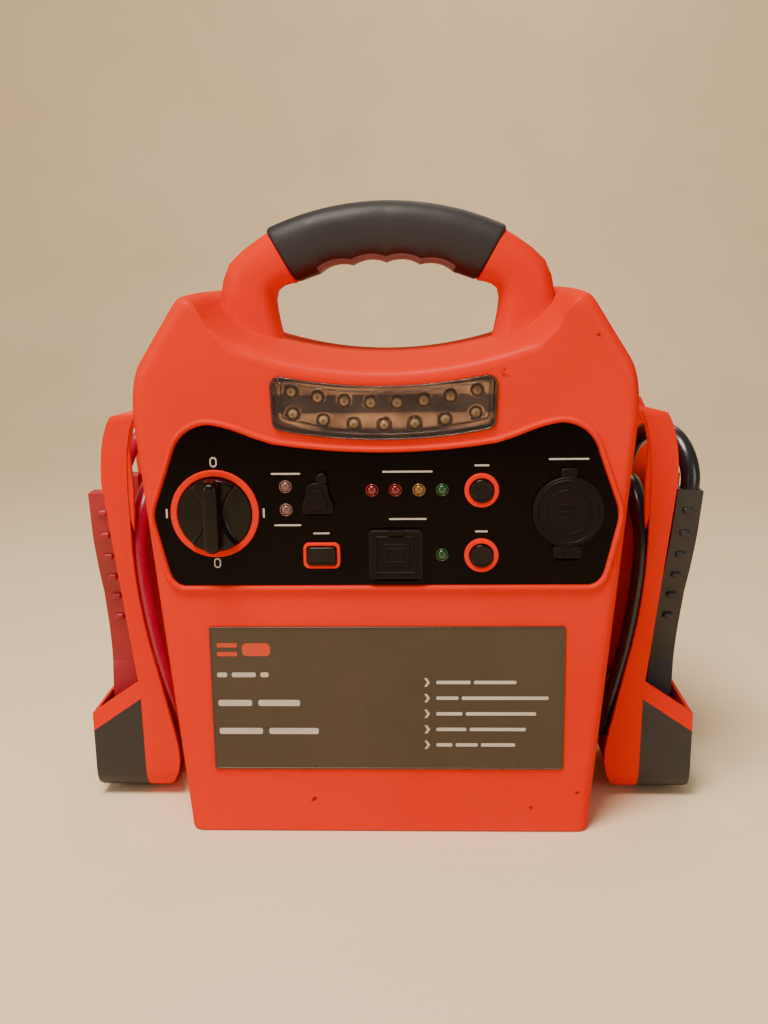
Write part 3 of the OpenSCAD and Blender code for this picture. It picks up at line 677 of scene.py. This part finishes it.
def body_shell(name, side):
    """Half of the hollow body: side -1 is the front and 1 the rear."""
    steps = []
    inner = EDGE_R - WALL
    for i in range(6, -1, -1):
        a = math.radians(15 * i)
        steps.append((REAR_Y - EDGE_R + inner * math.sin(a), WALL + inner * (1 - math.cos(a))))
    steps.append((0.15, WALL))
    steps += [(0.15, 0.5), (0.5, 0.12), (0.9, 0), (20, 0), (33, 0), (45, 0), (55, 0), (63, 0)]
    for i in range(9):
        a = math.radians(90 * i / 8)
        steps.append((REAR_Y - EDGE_R + EDGE_R * math.sin(a), EDGE_R * (1 - math.cos(a))))
    rings = []
    for y, d in steps:
        sink = FRONT_SINK * max(0, (y - 20) / 55) ** 2
        rings.append(body_ring(side * y, d, sink))
    return loft(name, rings, sharp=40)


PANEL_HALF = (
    [(0, 132), (97, 132)] + bend((99, 132), (104.5, 133), (106, 140), 5)
    + bend((111, 161), (112.4, 166), (111, 171), 5)
    + bend((102, 196), (99, 208), (87, 210.6), 10) + bend((84, 210.8), (75, 209.6), (64, 204.6), 5)
    + smile(54, 0, 197, 340, 10)
)
LAMP_HALF = (
    smile(0, 48, 203.3, 262, 8) + bend((49, 208), (53, 208.6), (53.3, 212.6), 5)
    + bend((53.9, 229), (53.6, 234), (48.6, 233.8), 6) + smile(44, 0, 229, 243, 8)
)


PANEL = outline_of(PANEL_HALF)
LAMP = outline_of(LAMP_HALF)


RIDGE_STEPS = 6


def hole(outline, y0, y1):
    """A closed cutter with an X, Z outline."""
    return slab("cutter", outline, [(y0, 0), (y1, 0)])


def ridge(name, outline, inner, outer, y_foot, height):
    """A raised line with a round back along an outline, between two offsets of it."""
    rings = [[(x, y_foot + 1, z) for x, z in offset(outline, inner)]]
    for i in range(RIDGE_STEPS + 1):
        t = i / RIDGE_STEPS
        swell = math.sin(math.pi * t) ** 0.55
        ring = offset(outline, inner + (outer - inner) * t)
        rings.append([(x, y_foot - height * swell, z) for x, z in ring])
    rings.append([(x, y_foot + 1, z) for x, z in offset(outline, outer)])
    rings.append(rings[0])
    return loft(name, rings, caps=False, sharp=60)


def make_front():
    """Front half of the body with its panel and lamp openings, and the bead round the panel."""
    body = body_shell("body_front", -1)
    cut(body, [hole(offset(PANEL, 0.2), -80, -70), hole(LAMP, -80, -70)], sharp=40)
    dress(body, "shell", stands_for=("front_shell",))
    bead = ridge("panel_bead", PANEL, 0.2, 3.4, FRONT_Y, 2.1)
    dress(bead, "shell")


DOOR_W = 110
DOOR_Z0 = 41
DOOR_Z1 = 115
POCKET_D = 34
GAUGE_C = (-58, 168)
GAUGE_R = 21.1
SWITCH_C = (58, 168)
SCREW_R = 3.05


def door_outline():
    return moved(rounded_box(DOOR_W, DOOR_Z1 - DOOR_Z0, 1), (0, (DOOR_Z0 + DOOR_Z1) / 2))


def make_rear():
    """Rear half of the body with the compartment, gauge, switch, vent and screw holes."""
    body = body_shell("body_rear", 1)
    cutters = [hole(door_outline(), 66, 80)]
    cutters.append(hole(moved(circle(GAUGE_R), GAUGE_C), 66, 80))
    cutters.append(hole(moved(rounded_box(14, 24, 0.8), SWITCH_C), 66, 80))
    for i in range(7):
        cutters.append(hole(moved(rounded_box(3, 28, 1.4, 3), (-22.5 + i * 7, 196)), 66, 80))
    for x in (-84, 84):
        for z in (20, 120, 200):
            cutters.append(hole(moved(circle(SCREW_R, 24), (x, z)), 71.9, 80))
    cut(body, cutters, sharp=40)
    dress(body, "shell", stands_for=("rear_shell",))
    make_compartment()


def make_compartment():
    """The cup behind the door."""
    back = REAR_Y - POCKET_D
    lip = REAR_Y - WALL
    steps = [(back + WALL, -0.8), (back + WALL + 0.8, 0), (lip, 0), (lip, WALL),
             (back + 1, WALL), (back, WALL - 1)]
    walls = slab("compartment_walls", door_outline(), steps, sharp=50)
    dress(walls, "shell")


# ---------- handle ----------
GRIP_R = 153
GRIP_AXIS_Z = 318 - GRIP_R
GRIP_TALL = 32
GRIP_HALF = 23.5
SCALLOP_R = 19
SCALLOP_PITCH = 8.6
SCALLOP_DEPTH = 2.2
GRIP_SLANT = 1.29
GRIP_SIDES = 64
GRIP_STEPS = 120
ARM_POWER = 3.0
# Inner edge, outer edge and half depth of an arm, from the body up to the grip
ARM_PAIRS = [
    ((46, 226), (100, 232), 24), ((50.5, 236), (94, 243), 19.5), ((54.6, 245), (90.3, 252), 17),
    ((56.8, 254), (88, 262), 16.2), ((58.3, 262), (87.6, 271), 16), ((58.8, 268), (86.0, 279), 16),
    ((57.8, 272.4), (82.6, 286.8), 16), ((54.8, 274.8), (75.6, 293.4), 16.2),
    ((51.0, 276.0), (68.2, 298.6), 16.4), ((47.4, 276.6), (61.6, 302.8), 16.6),
]


def squircle(centre, u, half_u, half_y, power, n=32):
    """A rounded section spread along u in X, Z and along Y."""
    ring = []
    for k in range(n):
        a = 2 * math.pi * k / n
        c = math.copysign(abs(math.cos(a)) ** (2 / power), math.cos(a)) * half_u
        s = math.copysign(abs(math.sin(a)) ** (2 / power), math.sin(a)) * half_y
        ring.append((centre[0] + u[0] * c, s, centre[1] + u[1] * c))
    return ring


def arm_sections():
    """Centre, direction across, half width and half depth of each section of an arm."""
    rings = []
    for inner, outer, half_y in ARM_PAIRS:
        centre = ((inner[0] + outer[0]) / 2, (inner[1] + outer[1]) / 2)
        half = math.dist(inner, outer) / 2
        u = ((outer[0] - inner[0]) / (2 * half), (outer[1] - inner[1]) / (2 * half))
        rings.append((centre, u, half, half_y))
    return rings


def make_handle():
    """Arms that grow out of the body, joined by the bar inside the grip."""
    arms = arm_sections()
    rings = [squircle(c, u, h, y, ARM_POWER) for c, u, h, y in arms]
    for a in (22.5, 15, 7.5, 0, -7.5, -15, -22.5):
        rings.append(arc_section(a, 12, 12, GRIP_R - GRIP_TALL / 2, ARM_POWER))
    for c, u, h, y in reversed(arms):
        rings.append(squircle((-c[0], c[1]), (-u[0], u[1]), h, y, ARM_POWER))
    frame_piece = loft("handle_arms", rings, sharp=50)
    dress(frame_piece, "shell", stands_for=("handle_frame",))
    make_grip()


def arc_section(a, half_tall, half_y, radius, power, n=32):
    """A section of a bar bent about the grip's axis, at the angle a from the top."""
    turn = math.radians(a)
    slant = math.radians(a * GRIP_SLANT)
    centre = (radius * math.sin(turn), GRIP_AXIS_Z + radius * math.cos(turn))
    return squircle(centre, (math.sin(slant), math.cos(slant)), half_tall, half_y, power, n)


def scallop(a):
    """How far the underside of the grip is hollowed at the angle a."""
    deepest = 0
    for i in range(4):
        turn = math.radians(a - (i - 1.5) * SCALLOP_PITCH)
        middle = GRIP_R - GRIP_TALL - SCALLOP_R + SCALLOP_DEPTH
        inside = SCALLOP_R ** 2 - (middle * math.sin(turn)) ** 2
        if inside > 0:
            deepest = max(deepest, middle * math.cos(turn) + math.sqrt(inside) - GRIP_R + GRIP_TALL)
    return deepest


# The faces of the grip's ring that look down into the finger hollows, which carry the painted sheen
UNDERSIDE = range(24, 40)


def make_grip():
    """Rubber sleeve with four finger hollows and slightly rolled ends, and painted sheen in the
    hollows.
    """
    rings = []
    for i in range(GRIP_STEPS + 1):
        a = -GRIP_HALF + 2 * GRIP_HALF * i / GRIP_STEPS
        end = min(1, (GRIP_HALF - abs(a)) / 0.7)
        swell = 17 - 1.2 * (1 - end) ** 2
        lift = scallop(a)
        half = GRIP_TALL / 2 - lift / 2 - 1.0 * (1 - end) ** 2
        radius = GRIP_R - GRIP_TALL / 2 + lift / 2
        rings.append(arc_section(a, half, swell, radius, 3.2, GRIP_SIDES))
    sleeve = loft("grip_sleeve", rings, sharp=30)
    dress(sleeve, "rubber", stands_for=("handle_grip",))
    # The faces in the finger hollows take the lighter rubber: painted sheen
    sleeve.data.materials.append(FINISH["grip_hollow_sheen"])
    for face in sleeve.data.polygons:
        column, side = divmod(face.index, GRIP_SIDES)
        hollow = scallop(-GRIP_HALF + 2 * GRIP_HALF * (column + 0.5) / GRIP_STEPS)
        if hollow > 0.05 and len(face.vertices) == 4 and side in UNDERSIDE:
            face.material_index = 1


# ---------- lamp ----------
LED_CURVE = 0.0029
LED_PLACES = (
    [((i - 3.5) * 12.7, 220.4 + LED_CURVE * ((i - 3.5) * 12.7) ** 2) for i in range(8)]
    + [((i - 3) * 14.6, 209.9 + LED_CURVE * ((i - 3) * 14.6) ** 2) for i in range(7)]
)
CUP_R = 3.4
CUP_DEPTH = 2.2
# Height at the middle and radius of the arcs along the lamp's window
LOW_ARC = (203.3, 262)
HIGH_ARC = (229, 243)


def arc_height(arc, x):
    return arc[0] + arc[1] - math.sqrt(arc[1] ** 2 - x * x)


def cup_depth(x, z):
    """How far behind the reflector's face its surface lies."""
    wave = 0.9 * math.sin(x * 0.09 + 0.6) + 0.25 * math.sin(z * 0.4)
    near = min(math.dist((x, z), led) for led in LED_PLACES)
    if near >= CUP_R:
        return wave
    return wave + CUP_DEPTH * (1 - (near / CUP_R) ** 2) ** 0.7


def make_reflector():
    """Metallised tray with a round cup for each light."""
    columns = 150
    rows = 52
    verts = []
    for j in range(rows + 1):
        for i in range(columns + 1):
            x = 104 * (i / columns - 0.5)
            low = arc_height(LOW_ARC, x)
            high = arc_height(HIGH_ARC, x)
            z = low + (high - low) * j / rows
            verts.append((x, FRONT_Y + 5.2 + cup_depth(x, z), z))
    faces = []
    for j in range(rows):
        for i in range(columns):
            k = j * (columns + 1) + i
            faces.append((k, k + 1, k + columns + 2, k + columns + 1))
    floor = add_mesh("reflector_floor", verts, faces, 60)
    steps = [(1, -0.3), (6, -1.8), (11, -1.8), (11, -0.3), (1, -0.3)]
    wall = slab("reflector_wall", LAMP, [(FRONT_Y + y, d) for y, d in steps])
    bowl = join("lamp_bowl", [floor, without_caps(wall)])
    # Its patchy brown metal colour is painted reflection
    dress(bowl, "reflector", stands_for=("lamp_reflector",))


def without_caps(obj):
    """Takes the end caps off a loft and joins its doubled points."""
    work = bmesh.new()
    work.from_mesh(obj.data)
    bmesh.ops.delete(work, geom=[f for f in work.faces if len(f.verts) > 8], context="FACES")
    bmesh.ops.remove_doubles(work, verts=work.verts, dist=1e-7)
    work.to_mesh(obj.data)
    work.free()
    return obj


def dome(name, centre, r, y_back, y_front, bulge):
    """A round post whose front end is domed by bulge."""
    steps = [(y_back, 0), (y_front + bulge, 0)]
    for i in range(1, 7):
        a = math.radians(90 * i / 6)
        steps.append((y_front + bulge - bulge * math.sin(a), -(r - 0.08) * (1 - math.cos(a))))
    return slab(name, moved(circle(r, 24), centre), steps, sharp=50)


def make_lamp():
    """Reflector, the lights with their dies and collars, and the window's dark rims."""
    make_reflector()
    posts = []
    dies = []
    collars = []
    for place in LED_PLACES:
        posts.append(dome("led", place, 2.4, FRONT_Y + 12, FRONT_Y + 3.4, 2.0))
        square = moved(rounded_box(1.5, 1.5, 0.3, 2), place)
        dies.append(pillow("die", square, FRONT_Y + 3.2, FRONT_Y + 2.9, 0.1, 1))
        outline = moved(circle(3.3, 32), place)
        collars.append(ridge("collar", outline, -0.7, 0, FRONT_Y + 5.6, 1.6))
    dress(join("lamp_domes", posts), "led", stands_for=("lamp_leds",))
    dress(join("lamp_dies", dies), "lamp_amber")
    # The collars share the reflector's painted reflection
    dress(join("lamp_collars", collars), "reflector")
    rim = ridge("lamp_rim", LAMP, -0.9, 0.1, FRONT_Y - 1.1, 0.5)
    inner = ridge("inner", LAMP, -3.2, -2.5, FRONT_Y - 1.1, 0.4)
    dress(join("lamp_rims", [rim, inner]), "smoked")


# ---------- control panel ----------
PANEL_Y = FRONT_Y - 0.6
KNOB_C = (-82.3, 168.1)
KNOB_R = 17.8
OUTLET_C = (87.8, 168.4)
TEST_C = (46.5, 178.8)
USB_BUTTON_C = (46.5, 146.8)
LIGHT_C = (-30.9, 147)
JACK_C = (-32.2, 174.5)
USB_C = (5.2, 147.6)
CAP_R = 17.2
BUTTON_R = 5.6
# Centre and colour of each indicator
INDICATORS = [
    ((-47.8, 181), "indicator"), ((-47.8, 169.6), "indicator"), ((-6.1, 179), "lamp_red"),
    ((5.2, 179), "lamp_red"), ((16.5, 179), "lamp_amber"), ((27.7, 179), "lamp_green"),
    ((27.5, 146.9), "lamp_green"),
]


def make_knob():
    """Disc with two finger hollows and a bar across it."""
    disc = pillow("disc", moved(circle(KNOB_R, 96), KNOB_C), PANEL_Y - 0.4, PANEL_Y - 7, 1.3)
    scoops = []
    for s in (-1, 1):
        outline = moved(circle(18.5, 96), (KNOB_C[0] + s * 22.5, KNOB_C[1]))
        steps = [(2.6, -1.2), (3.0, -0.4), (3.8, 0), (12, 1.0)]
        scoops.append(slab("cutter", outline, [(PANEL_Y - out, d) for out, d in steps]))
    cut(disc, scoops)
    steps = [(5, 0.5), (12.6, -0.1), (14, -0.5), (14.8, -1.3), (15, -2.4)]
    outline = moved(rounded_box(8, 34.6, 3.6, 8), KNOB_C)
    wing = slab("wing", outline, [(PANEL_Y - out, d) for out, d in steps], sharp=50)
    knob = join("knob_grip", [disc, wing])
    dress(knob, "knob_black", "knob", ("rotary_knob",))


def make_button(name, body, outline, stands_for):
    """A cap with a soft edge and a slightly dished face."""
    steps = [(-3, 0), (2.2, 0), (2.8, -0.35), (3.0, -0.9), (2.75, -1.4)]
    cap = slab(name, outline, [(PANEL_Y - out, d) for out, d in steps], sharp=50)
    dress(cap, "knob_black", body, (stands_for,))


def make_buttons():
    make_button("test_cap", "test_key", moved(circle(BUTTON_R), TEST_C), "test_button")
    make_button("usb_cap", "usb_key", moved(circle(BUTTON_R), USB_BUTTON_C), "usb_button")
    make_button("light_cap", "light_key", moved(rounded_box(14, 9, 1.5), LIGHT_C), "light_button")


def make_indicators():
    """Domed lamps with a flange each; the first piece stands for the whole node."""
    for number, (centre, slot) in enumerate(INDICATORS):
        lamp = dome("lamp", centre, 2.45, FRONT_Y + 16, PANEL_Y - 1.3, 1.5)
        flange = ridge("flange", moved(circle(3.2, 32), centre), -0.75, 0, PANEL_Y + 0.1, 0.7)
        stands_for = ("indicator_leds",) if number == 0 else ()
        dress(join("indicator_%d" % (number + 1), [lamp, flange]), slot, stands_for=stands_for)


def make_usb_cover():
    """Square rubber flap with two raised squares and a pull lip."""
    front = PANEL_Y - 3.3
    base = pillow("base", moved(rounded_box(26.6, 24.6, 2), USB_C), PANEL_Y - 0.3, front, 0.9)
    line = ridge("line", moved(rounded_box(20.5, 19, 1.6), USB_C), -1.3, 0, front + 0.1, 0.6)
    square = moved(rounded_box(13.4, 11.6, 1.2), USB_C)
    middle = pillow("middle", square, front + 0.5, front - 0.7, 0.5)
    inner = ridge("inner", moved(rounded_box(9, 7.4, 0.8), USB_C), -0.9, 0, front - 0.6, 0.45)
    tab = moved(rounded_box(8, 2.6, 1), (USB_C[0], USB_C[1] + 11))
    lip = pillow("lip", tab, front + 0.5, front - 1.1, 0.5)
    mouth = moved(rounded_box(11.2, 3.8, 0.6), USB_C)
    plug = slab("plug", mouth, [(PANEL_Y - 0.5, 0), (PANEL_Y + 2.5, 0)])
    cover = join("usb_flap_cover", [base, line, middle, inner, lip, plug])
    dress(cover, "flap_rubber", "usb_flap", ("usb_cover",))


def bell_outline(scale=1):
    """Bell shape of the charging jack's cover, about the jack."""
    right = [(0, -6.4), (6.2, -6.4)] + bend((6.8, -6.4), (7.6, -6.2), (7.6, -4.8), 3)
    right += bend((7.6, -1.5), (6.2, 0.6), (5.6, 3.2), 4) + bend((5.0, 7.4), (3.6, 8.8), (0, 9.0), 5)
    return moved([(x * scale, z * scale) for x, z in outline_of(right)], JACK_C)


def make_jack_cover():
    """Bell-shaped rubber cover with a raised bell on it and a round pull above."""
    front = PANEL_Y - 4.2
    bell = pillow("bell", bell_outline(), PANEL_Y - 0.6, front, 0.7)
    step = pillow("step", bell_outline(0.62), front + 0.6, front - 0.8, 0.35)
    disc = moved(circle(3.0, 32), (JACK_C[0] + 2, JACK_C[1] + 10.6))
    pull = pillow("pull", disc, PANEL_Y - 0.6, PANEL_Y - 4.4, 1.2)
    cover = join("jack_flap_cover", [bell, step, pull])
    dress(cover, "flap_rubber", "jack_flap", ("charge_jack_cover",))


def make_outlet_cap():
    """Round rubber cap with a raised rim, a pull lip on top and a hinge strap below."""
    x, z = OUTLET_C
    foot = PANEL_Y - 0.4
    front = PANEL_Y - 3.4
    disc = pillow("disc", moved(circle(CAP_R, 96), OUTLET_C), foot, front, 1.0)
    rim = ridge("rim", moved(circle(CAP_R - 1.2, 96), OUTLET_C), -1.6, 0, front + 0.1, 0.7)
    ring = ridge("ring", moved(circle(11.2, 72), OUTLET_C), -0.9, 0, front + 0.1, 0.5)
    tab = moved(rounded_box(8, 5, 1.6), (x, z + CAP_R + 1.4))
    lip = pillow("lip", tab, foot, PANEL_Y - 3, 0.9)
    band = moved(rounded_box(14.4, 7, 2.4), (x, z - CAP_R - 2.4))
    parts = [disc, rim, ring, lip, pillow("strap", band, foot, PANEL_Y - 3, 0.9)]
    for s in (-1, 1):
        lobe = moved(circle(2.6, 24), (x + s * 4.2, z - CAP_R - 2.6))
        parts.append(pillow("lobe", lobe, PANEL_Y - 2.6, PANEL_Y - 3.7, 0.7))
    for i in (-1, 0, 1):
        rib_line = moved(rounded_box(9 - 2 * abs(i), 1.3, 0.5, 2), (x, z + 3.2 * i))
        parts.append(pillow("rib", rib_line, front + 0.3, front - 0.45, 0.3))
    cap = join("outlet_flap_cover", parts)
    dress(cap, "flap_rubber", "outlet_flap", ("outlet_cap",))


# ---------- print ----------
PRINT_BACK = 0.02
PRINT_FRONT = -0.12


def flat(outline, y):
    """A thin raised print of an outline on the face at y."""
    return slab("print", outline, [(y + PRINT_BACK, 0), (y + PRINT_FRONT, 0)])


def bar(x, z, w, h, y):
    return flat(moved(rounded_box(w, h, min(w, h) * 0.3, 2), (x, z)), y)


def phrase(x, z, h, words, y):
    """A row of plain bars of the given lengths that starts at x."""
    bars = []
    for w in words:
        bars.append(bar(x + w / 2, z, w, h, y))
        x += w + h
    return bars


def chevron(x, z, size, y):
    """A small mark that points right."""
    arm = size * 0.42
    outline = [(x - arm, z - size / 2), (x - arm / 3, z - size / 2), (x + arm / 2, z),
               (x - arm / 3, z + size / 2), (x - arm, z + size / 2), (x - arm / 4, z)]
    return flat(outline, y)


def zero(x, z, y):
    """The digit 0 of a dial."""
    outline = moved(rounded_box(3.4, 5, 1.7, 6), (x, z))
    steps = [(PRINT_BACK, 0), (PRINT_FRONT, 0), (PRINT_FRONT, -0.6), (PRINT_BACK, -0.6),
             (PRINT_BACK, 0)]
    rings = [[(px, y + out, pz) for px, pz in offset(outline, d)] for out, d in steps]
    return loft("print", rings, caps=False)


# Middle and length of each bar on the panel
CAPTIONS = [(-47.6, 187.3, 14), (-47.2, 162, 13), (-30.9, 157.9, 8), (11, 188, 24),
            (11, 164.8, 18), (46.5, 190.8, 7), (46.5, 158.5, 6), (87.8, 193.6, 19)]


def make_panel_print():
    """Dial marks, and plain bars where the panel has captions."""
    y = PANEL_Y
    marks = [zero(KNOB_C[0], 193.2, y), zero(KNOB_C[0], 143.2, y)]
    marks += [bar(-106, KNOB_C[1], 0.9, 4.6, y), bar(-58.7, KNOB_C[1], 0.9, 4.6, y)]
    for x, z, w in CAPTIONS:
        marks.append(bar(x, z, w, 0.8, y))
    dress(join("panel_print", marks), "print")


LABEL_Y = FRONT_Y - 0.8
# Height on the label, thickness and lengths of the bars of each line on the left
LEFT_LINES = [(85.5, 2.4, (5, 12, 4)), (70.6, 3.2, (17, 21)), (55.6, 3.2, (22, 25))]
# Height and lengths of the bars of each line on the right
RIGHT_LINES = [(81.5, (17, 21)), (73.2, (11, 43)), (64.9, (13, 35)), (56.6, (15, 28)),
               (48.3, (8, 11, 17))]
# Place and size of the three plain bars above the lines
MARK_BARS = [(-79.5, 101, 10, 2.2), (-79.5, 96.4, 10, 2.2), (-65, 98.7, 14, 6.6)]


def make_label_print():
    """Plain bars and chevrons in place of the words of the label, and its raised edge."""
    lines = []
    for z, h, words in LEFT_LINES:
        lines += phrase(-85, z, h, words, LABEL_Y)
    for z, words in RIGHT_LINES:
        lines.append(chevron(20.4, z, 4.4, LABEL_Y))
        lines += phrase(24.5, z, 1.7, words, LABEL_Y)
    dress(join("label_print", lines), "print")
    mark = [bar(x, z, w, h, LABEL_Y) for x, z, w, h in MARK_BARS]
    dress(join("label_mark", mark), "print_orange")
    edge = ridge("label_edge", rounded_label(), -0.8, 0.1, LABEL_Y, 0.25)
    dress(edge, "label")


def rounded_label():
    """The label plate's outline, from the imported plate."""
    low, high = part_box("label_plate")
    w = (high[0] - low[0]) / MM
    h = (high[2] - low[2]) / MM
    return moved(rounded_box(w, h, 1.5), (0, (low[2] + high[2]) / 2 / MM))


# ---------- side holders ----------
# Edges of the widened part of a holder's front wall, as X, Z points: towards the body, and away
LIP_IN = [(132.8, 150), (132.0, 160), (131.8, 172), (132.4, 185), (132.6, 195), (130.6, 204),
          (126, 211.6)]
LIP_OUT = [(129, 213), (134, 208.6), (137.6, 200), (137.8, 186), (136.6, 170), (135.2, 158)]


def make_lip(side):
    """Flange that widens the top of a holder's front wall, a little behind its face."""
    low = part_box(side + "_tray")[0]
    front = low[1] / MM
    outline = [(SIDES[side] * x, z) for x, z in LIP_IN + LIP_OUT]
    steps = [(front + 3.0, 0), (front + 1.4, 0), (front + 0.9, -0.5)]
    dress(slab(side + "_tray_lip", outline[::-SIDES[side]], steps, sharp=40), "shell")


# ---------- clamps ----------
PIVOT = (149.8, 0, 78)
# Degrees by which the top of each clamp leans outwards
LEAN = {"left": 0.6, "right": 4.0}
BUMPS = 6
BUMP_FOOT = 19
BUMP_PITCH = 12.4
BUMP_HALF = 2.9
BUMP_RINGS = 12
BUMP_SIDES = 16


def clamp_point(side, x, y, z):
    """A point given about the leaning clamp's pivot, turned into the frame that all parts share."""
    s = SIDES[side]
    a = math.radians(LEAN[side]) * s
    across = x * math.cos(a) + z * math.sin(a)
    up = z * math.cos(a) - x * math.sin(a)
    return (s * PIVOT[0] + across, y, PIVOT[2] + up)


def handle_y(z):
    """Outer face of a clamp's front handle at the height z over the pivot."""
    line = [(-12, 12)] + bend((-17, 34), (-26, 52), (-30, 70), 8) + [(-32.4, 92)]
    for (y0, z0), (y1, z1) in zip(line, line[1:]):
        if z0 <= z <= z1:
            return y0 + (y1 - y0) * (z - z0) / (z1 - z0)
    return line[-1][0]


def make_bumps(side):
    """Small rounded bumps along the two handles of a clamp."""
    for part, flip in (("", 1), ("_arm", -1)):
        ribs = []
        for i in range(BUMPS):
            z = BUMP_FOOT + i * BUMP_PITCH
            y = handle_y(z) * flip
            ribs.append(rib(side, y, z, flip))
        dress(join(side + "_clamp%s_ribs" % part, ribs), CLAMP[side], side + "_clamp" + part)


def rib(side, y, z, flip):
    """One oval bump on a handle."""
    rings = []
    for i in range(BUMP_RINGS + 1):
        t = -1 + 2 * i / BUMP_RINGS
        swell = max(0.02, 1 - t ** 4) ** 0.5
        ring = []
        for k in range(BUMP_SIDES):
            a = 2 * math.pi * k / BUMP_SIDES
            out = y - flip * 0.3 + 1.5 * swell * math.cos(a)
            ring.append(clamp_point(side, t * BUMP_HALF, out, z + 1.8 * swell * math.sin(a)))
        rings.append(ring)
    return loft("rib", rings, sharp=60)


# ---------- carried-over parts ----------
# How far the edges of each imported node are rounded, in millimetres
EASED = {
    "knob_ring": 0.6, "light_button_ring": 0.5, "round_button_rings": 0.5, "compartment_door": 0.6,
    "compressor_switch": 0.5, "pressure_gauge": 0.5, "label_plate": 0.2, "shell_screws": 0.4,
    "panel_fascia": 0.25, "usb_socket": 0.2, "outlet_socket": 0.3, "charge_jack": 0.2,
    "hose_outlet": 0.3, "battery": 1.5, "compressor_pump": 1.5, "lamp_lens": 0.4,
}
# The same for the nodes that both sides have
EASED_SIDES = {
    "tray": 1.3, "pocket_cover": 1.2, "hub": 1.0, "clamp_fixed_half": 1.6,
    "clamp_moving_half": 1.6, "tray_web": 0.4,
}
for side in SIDES:
    for part, width in EASED_SIDES.items():
        EASED[side + "_" + part] = width


def dress_nodes():
    """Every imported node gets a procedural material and, where it shows, softened edges."""
    for sub in frame["record"]["subparts"]:
        obj = bpy.data.objects[sub["node"]]
        for holder in obj.material_slots:
            holder.material = FINISH[sub["material_slot"]]
        if sub["node"] in EASED:
            ease(obj, EASED[sub["node"]])


FLOOR_HALF = 2400
FLOOR_PROFILE = [(-1600, 0), (1000, 0), (1250, 30), (1450, 120), (1580, 300), (1600, 600),
                 (1600, 2400)]


def make_floor():
    """Plain pale ground that curves up behind the object."""
    verts = []
    for y, z in FLOOR_PROFILE:
        verts += [(-FLOOR_HALF, y, z), (FLOOR_HALF, y, z)]
    faces = [(2 * i, 2 * i + 1, 2 * i + 3, 2 * i + 2) for i in range(len(FLOOR_PROFILE) - 1)]
    floor = add_mesh("floor", verts, faces, 80)
    s = Surface("floor")
    s.colour(s.mix(s.ramp(s.noise(6, 5), 0.3, 0.7, 0, 1), (0.97, 0.77, 0.50), (0.92, 0.71, 0.45)))
    s.rough(s.ramp(s.noise(40, 4), 0.3, 0.7, 0.8, 0.95))
    s.bump(s.noise(160, 4), 0.3)
    floor.data.materials.append(s.material)


FINISH = make_finishes()
make_camera()
make_lights()
for side in SIDES:
    make_lead(side)
make_front()
make_rear()
make_handle()
make_lamp()
make_knob()
make_buttons()
make_indicators()
make_usb_cover()
make_jack_cover()
make_outlet_cap()
make_panel_print()
make_label_print()
for side in SIDES:
    make_lip(side)
for side in SIDES:
    make_bumps(side)
dress_nodes()
make_floor()
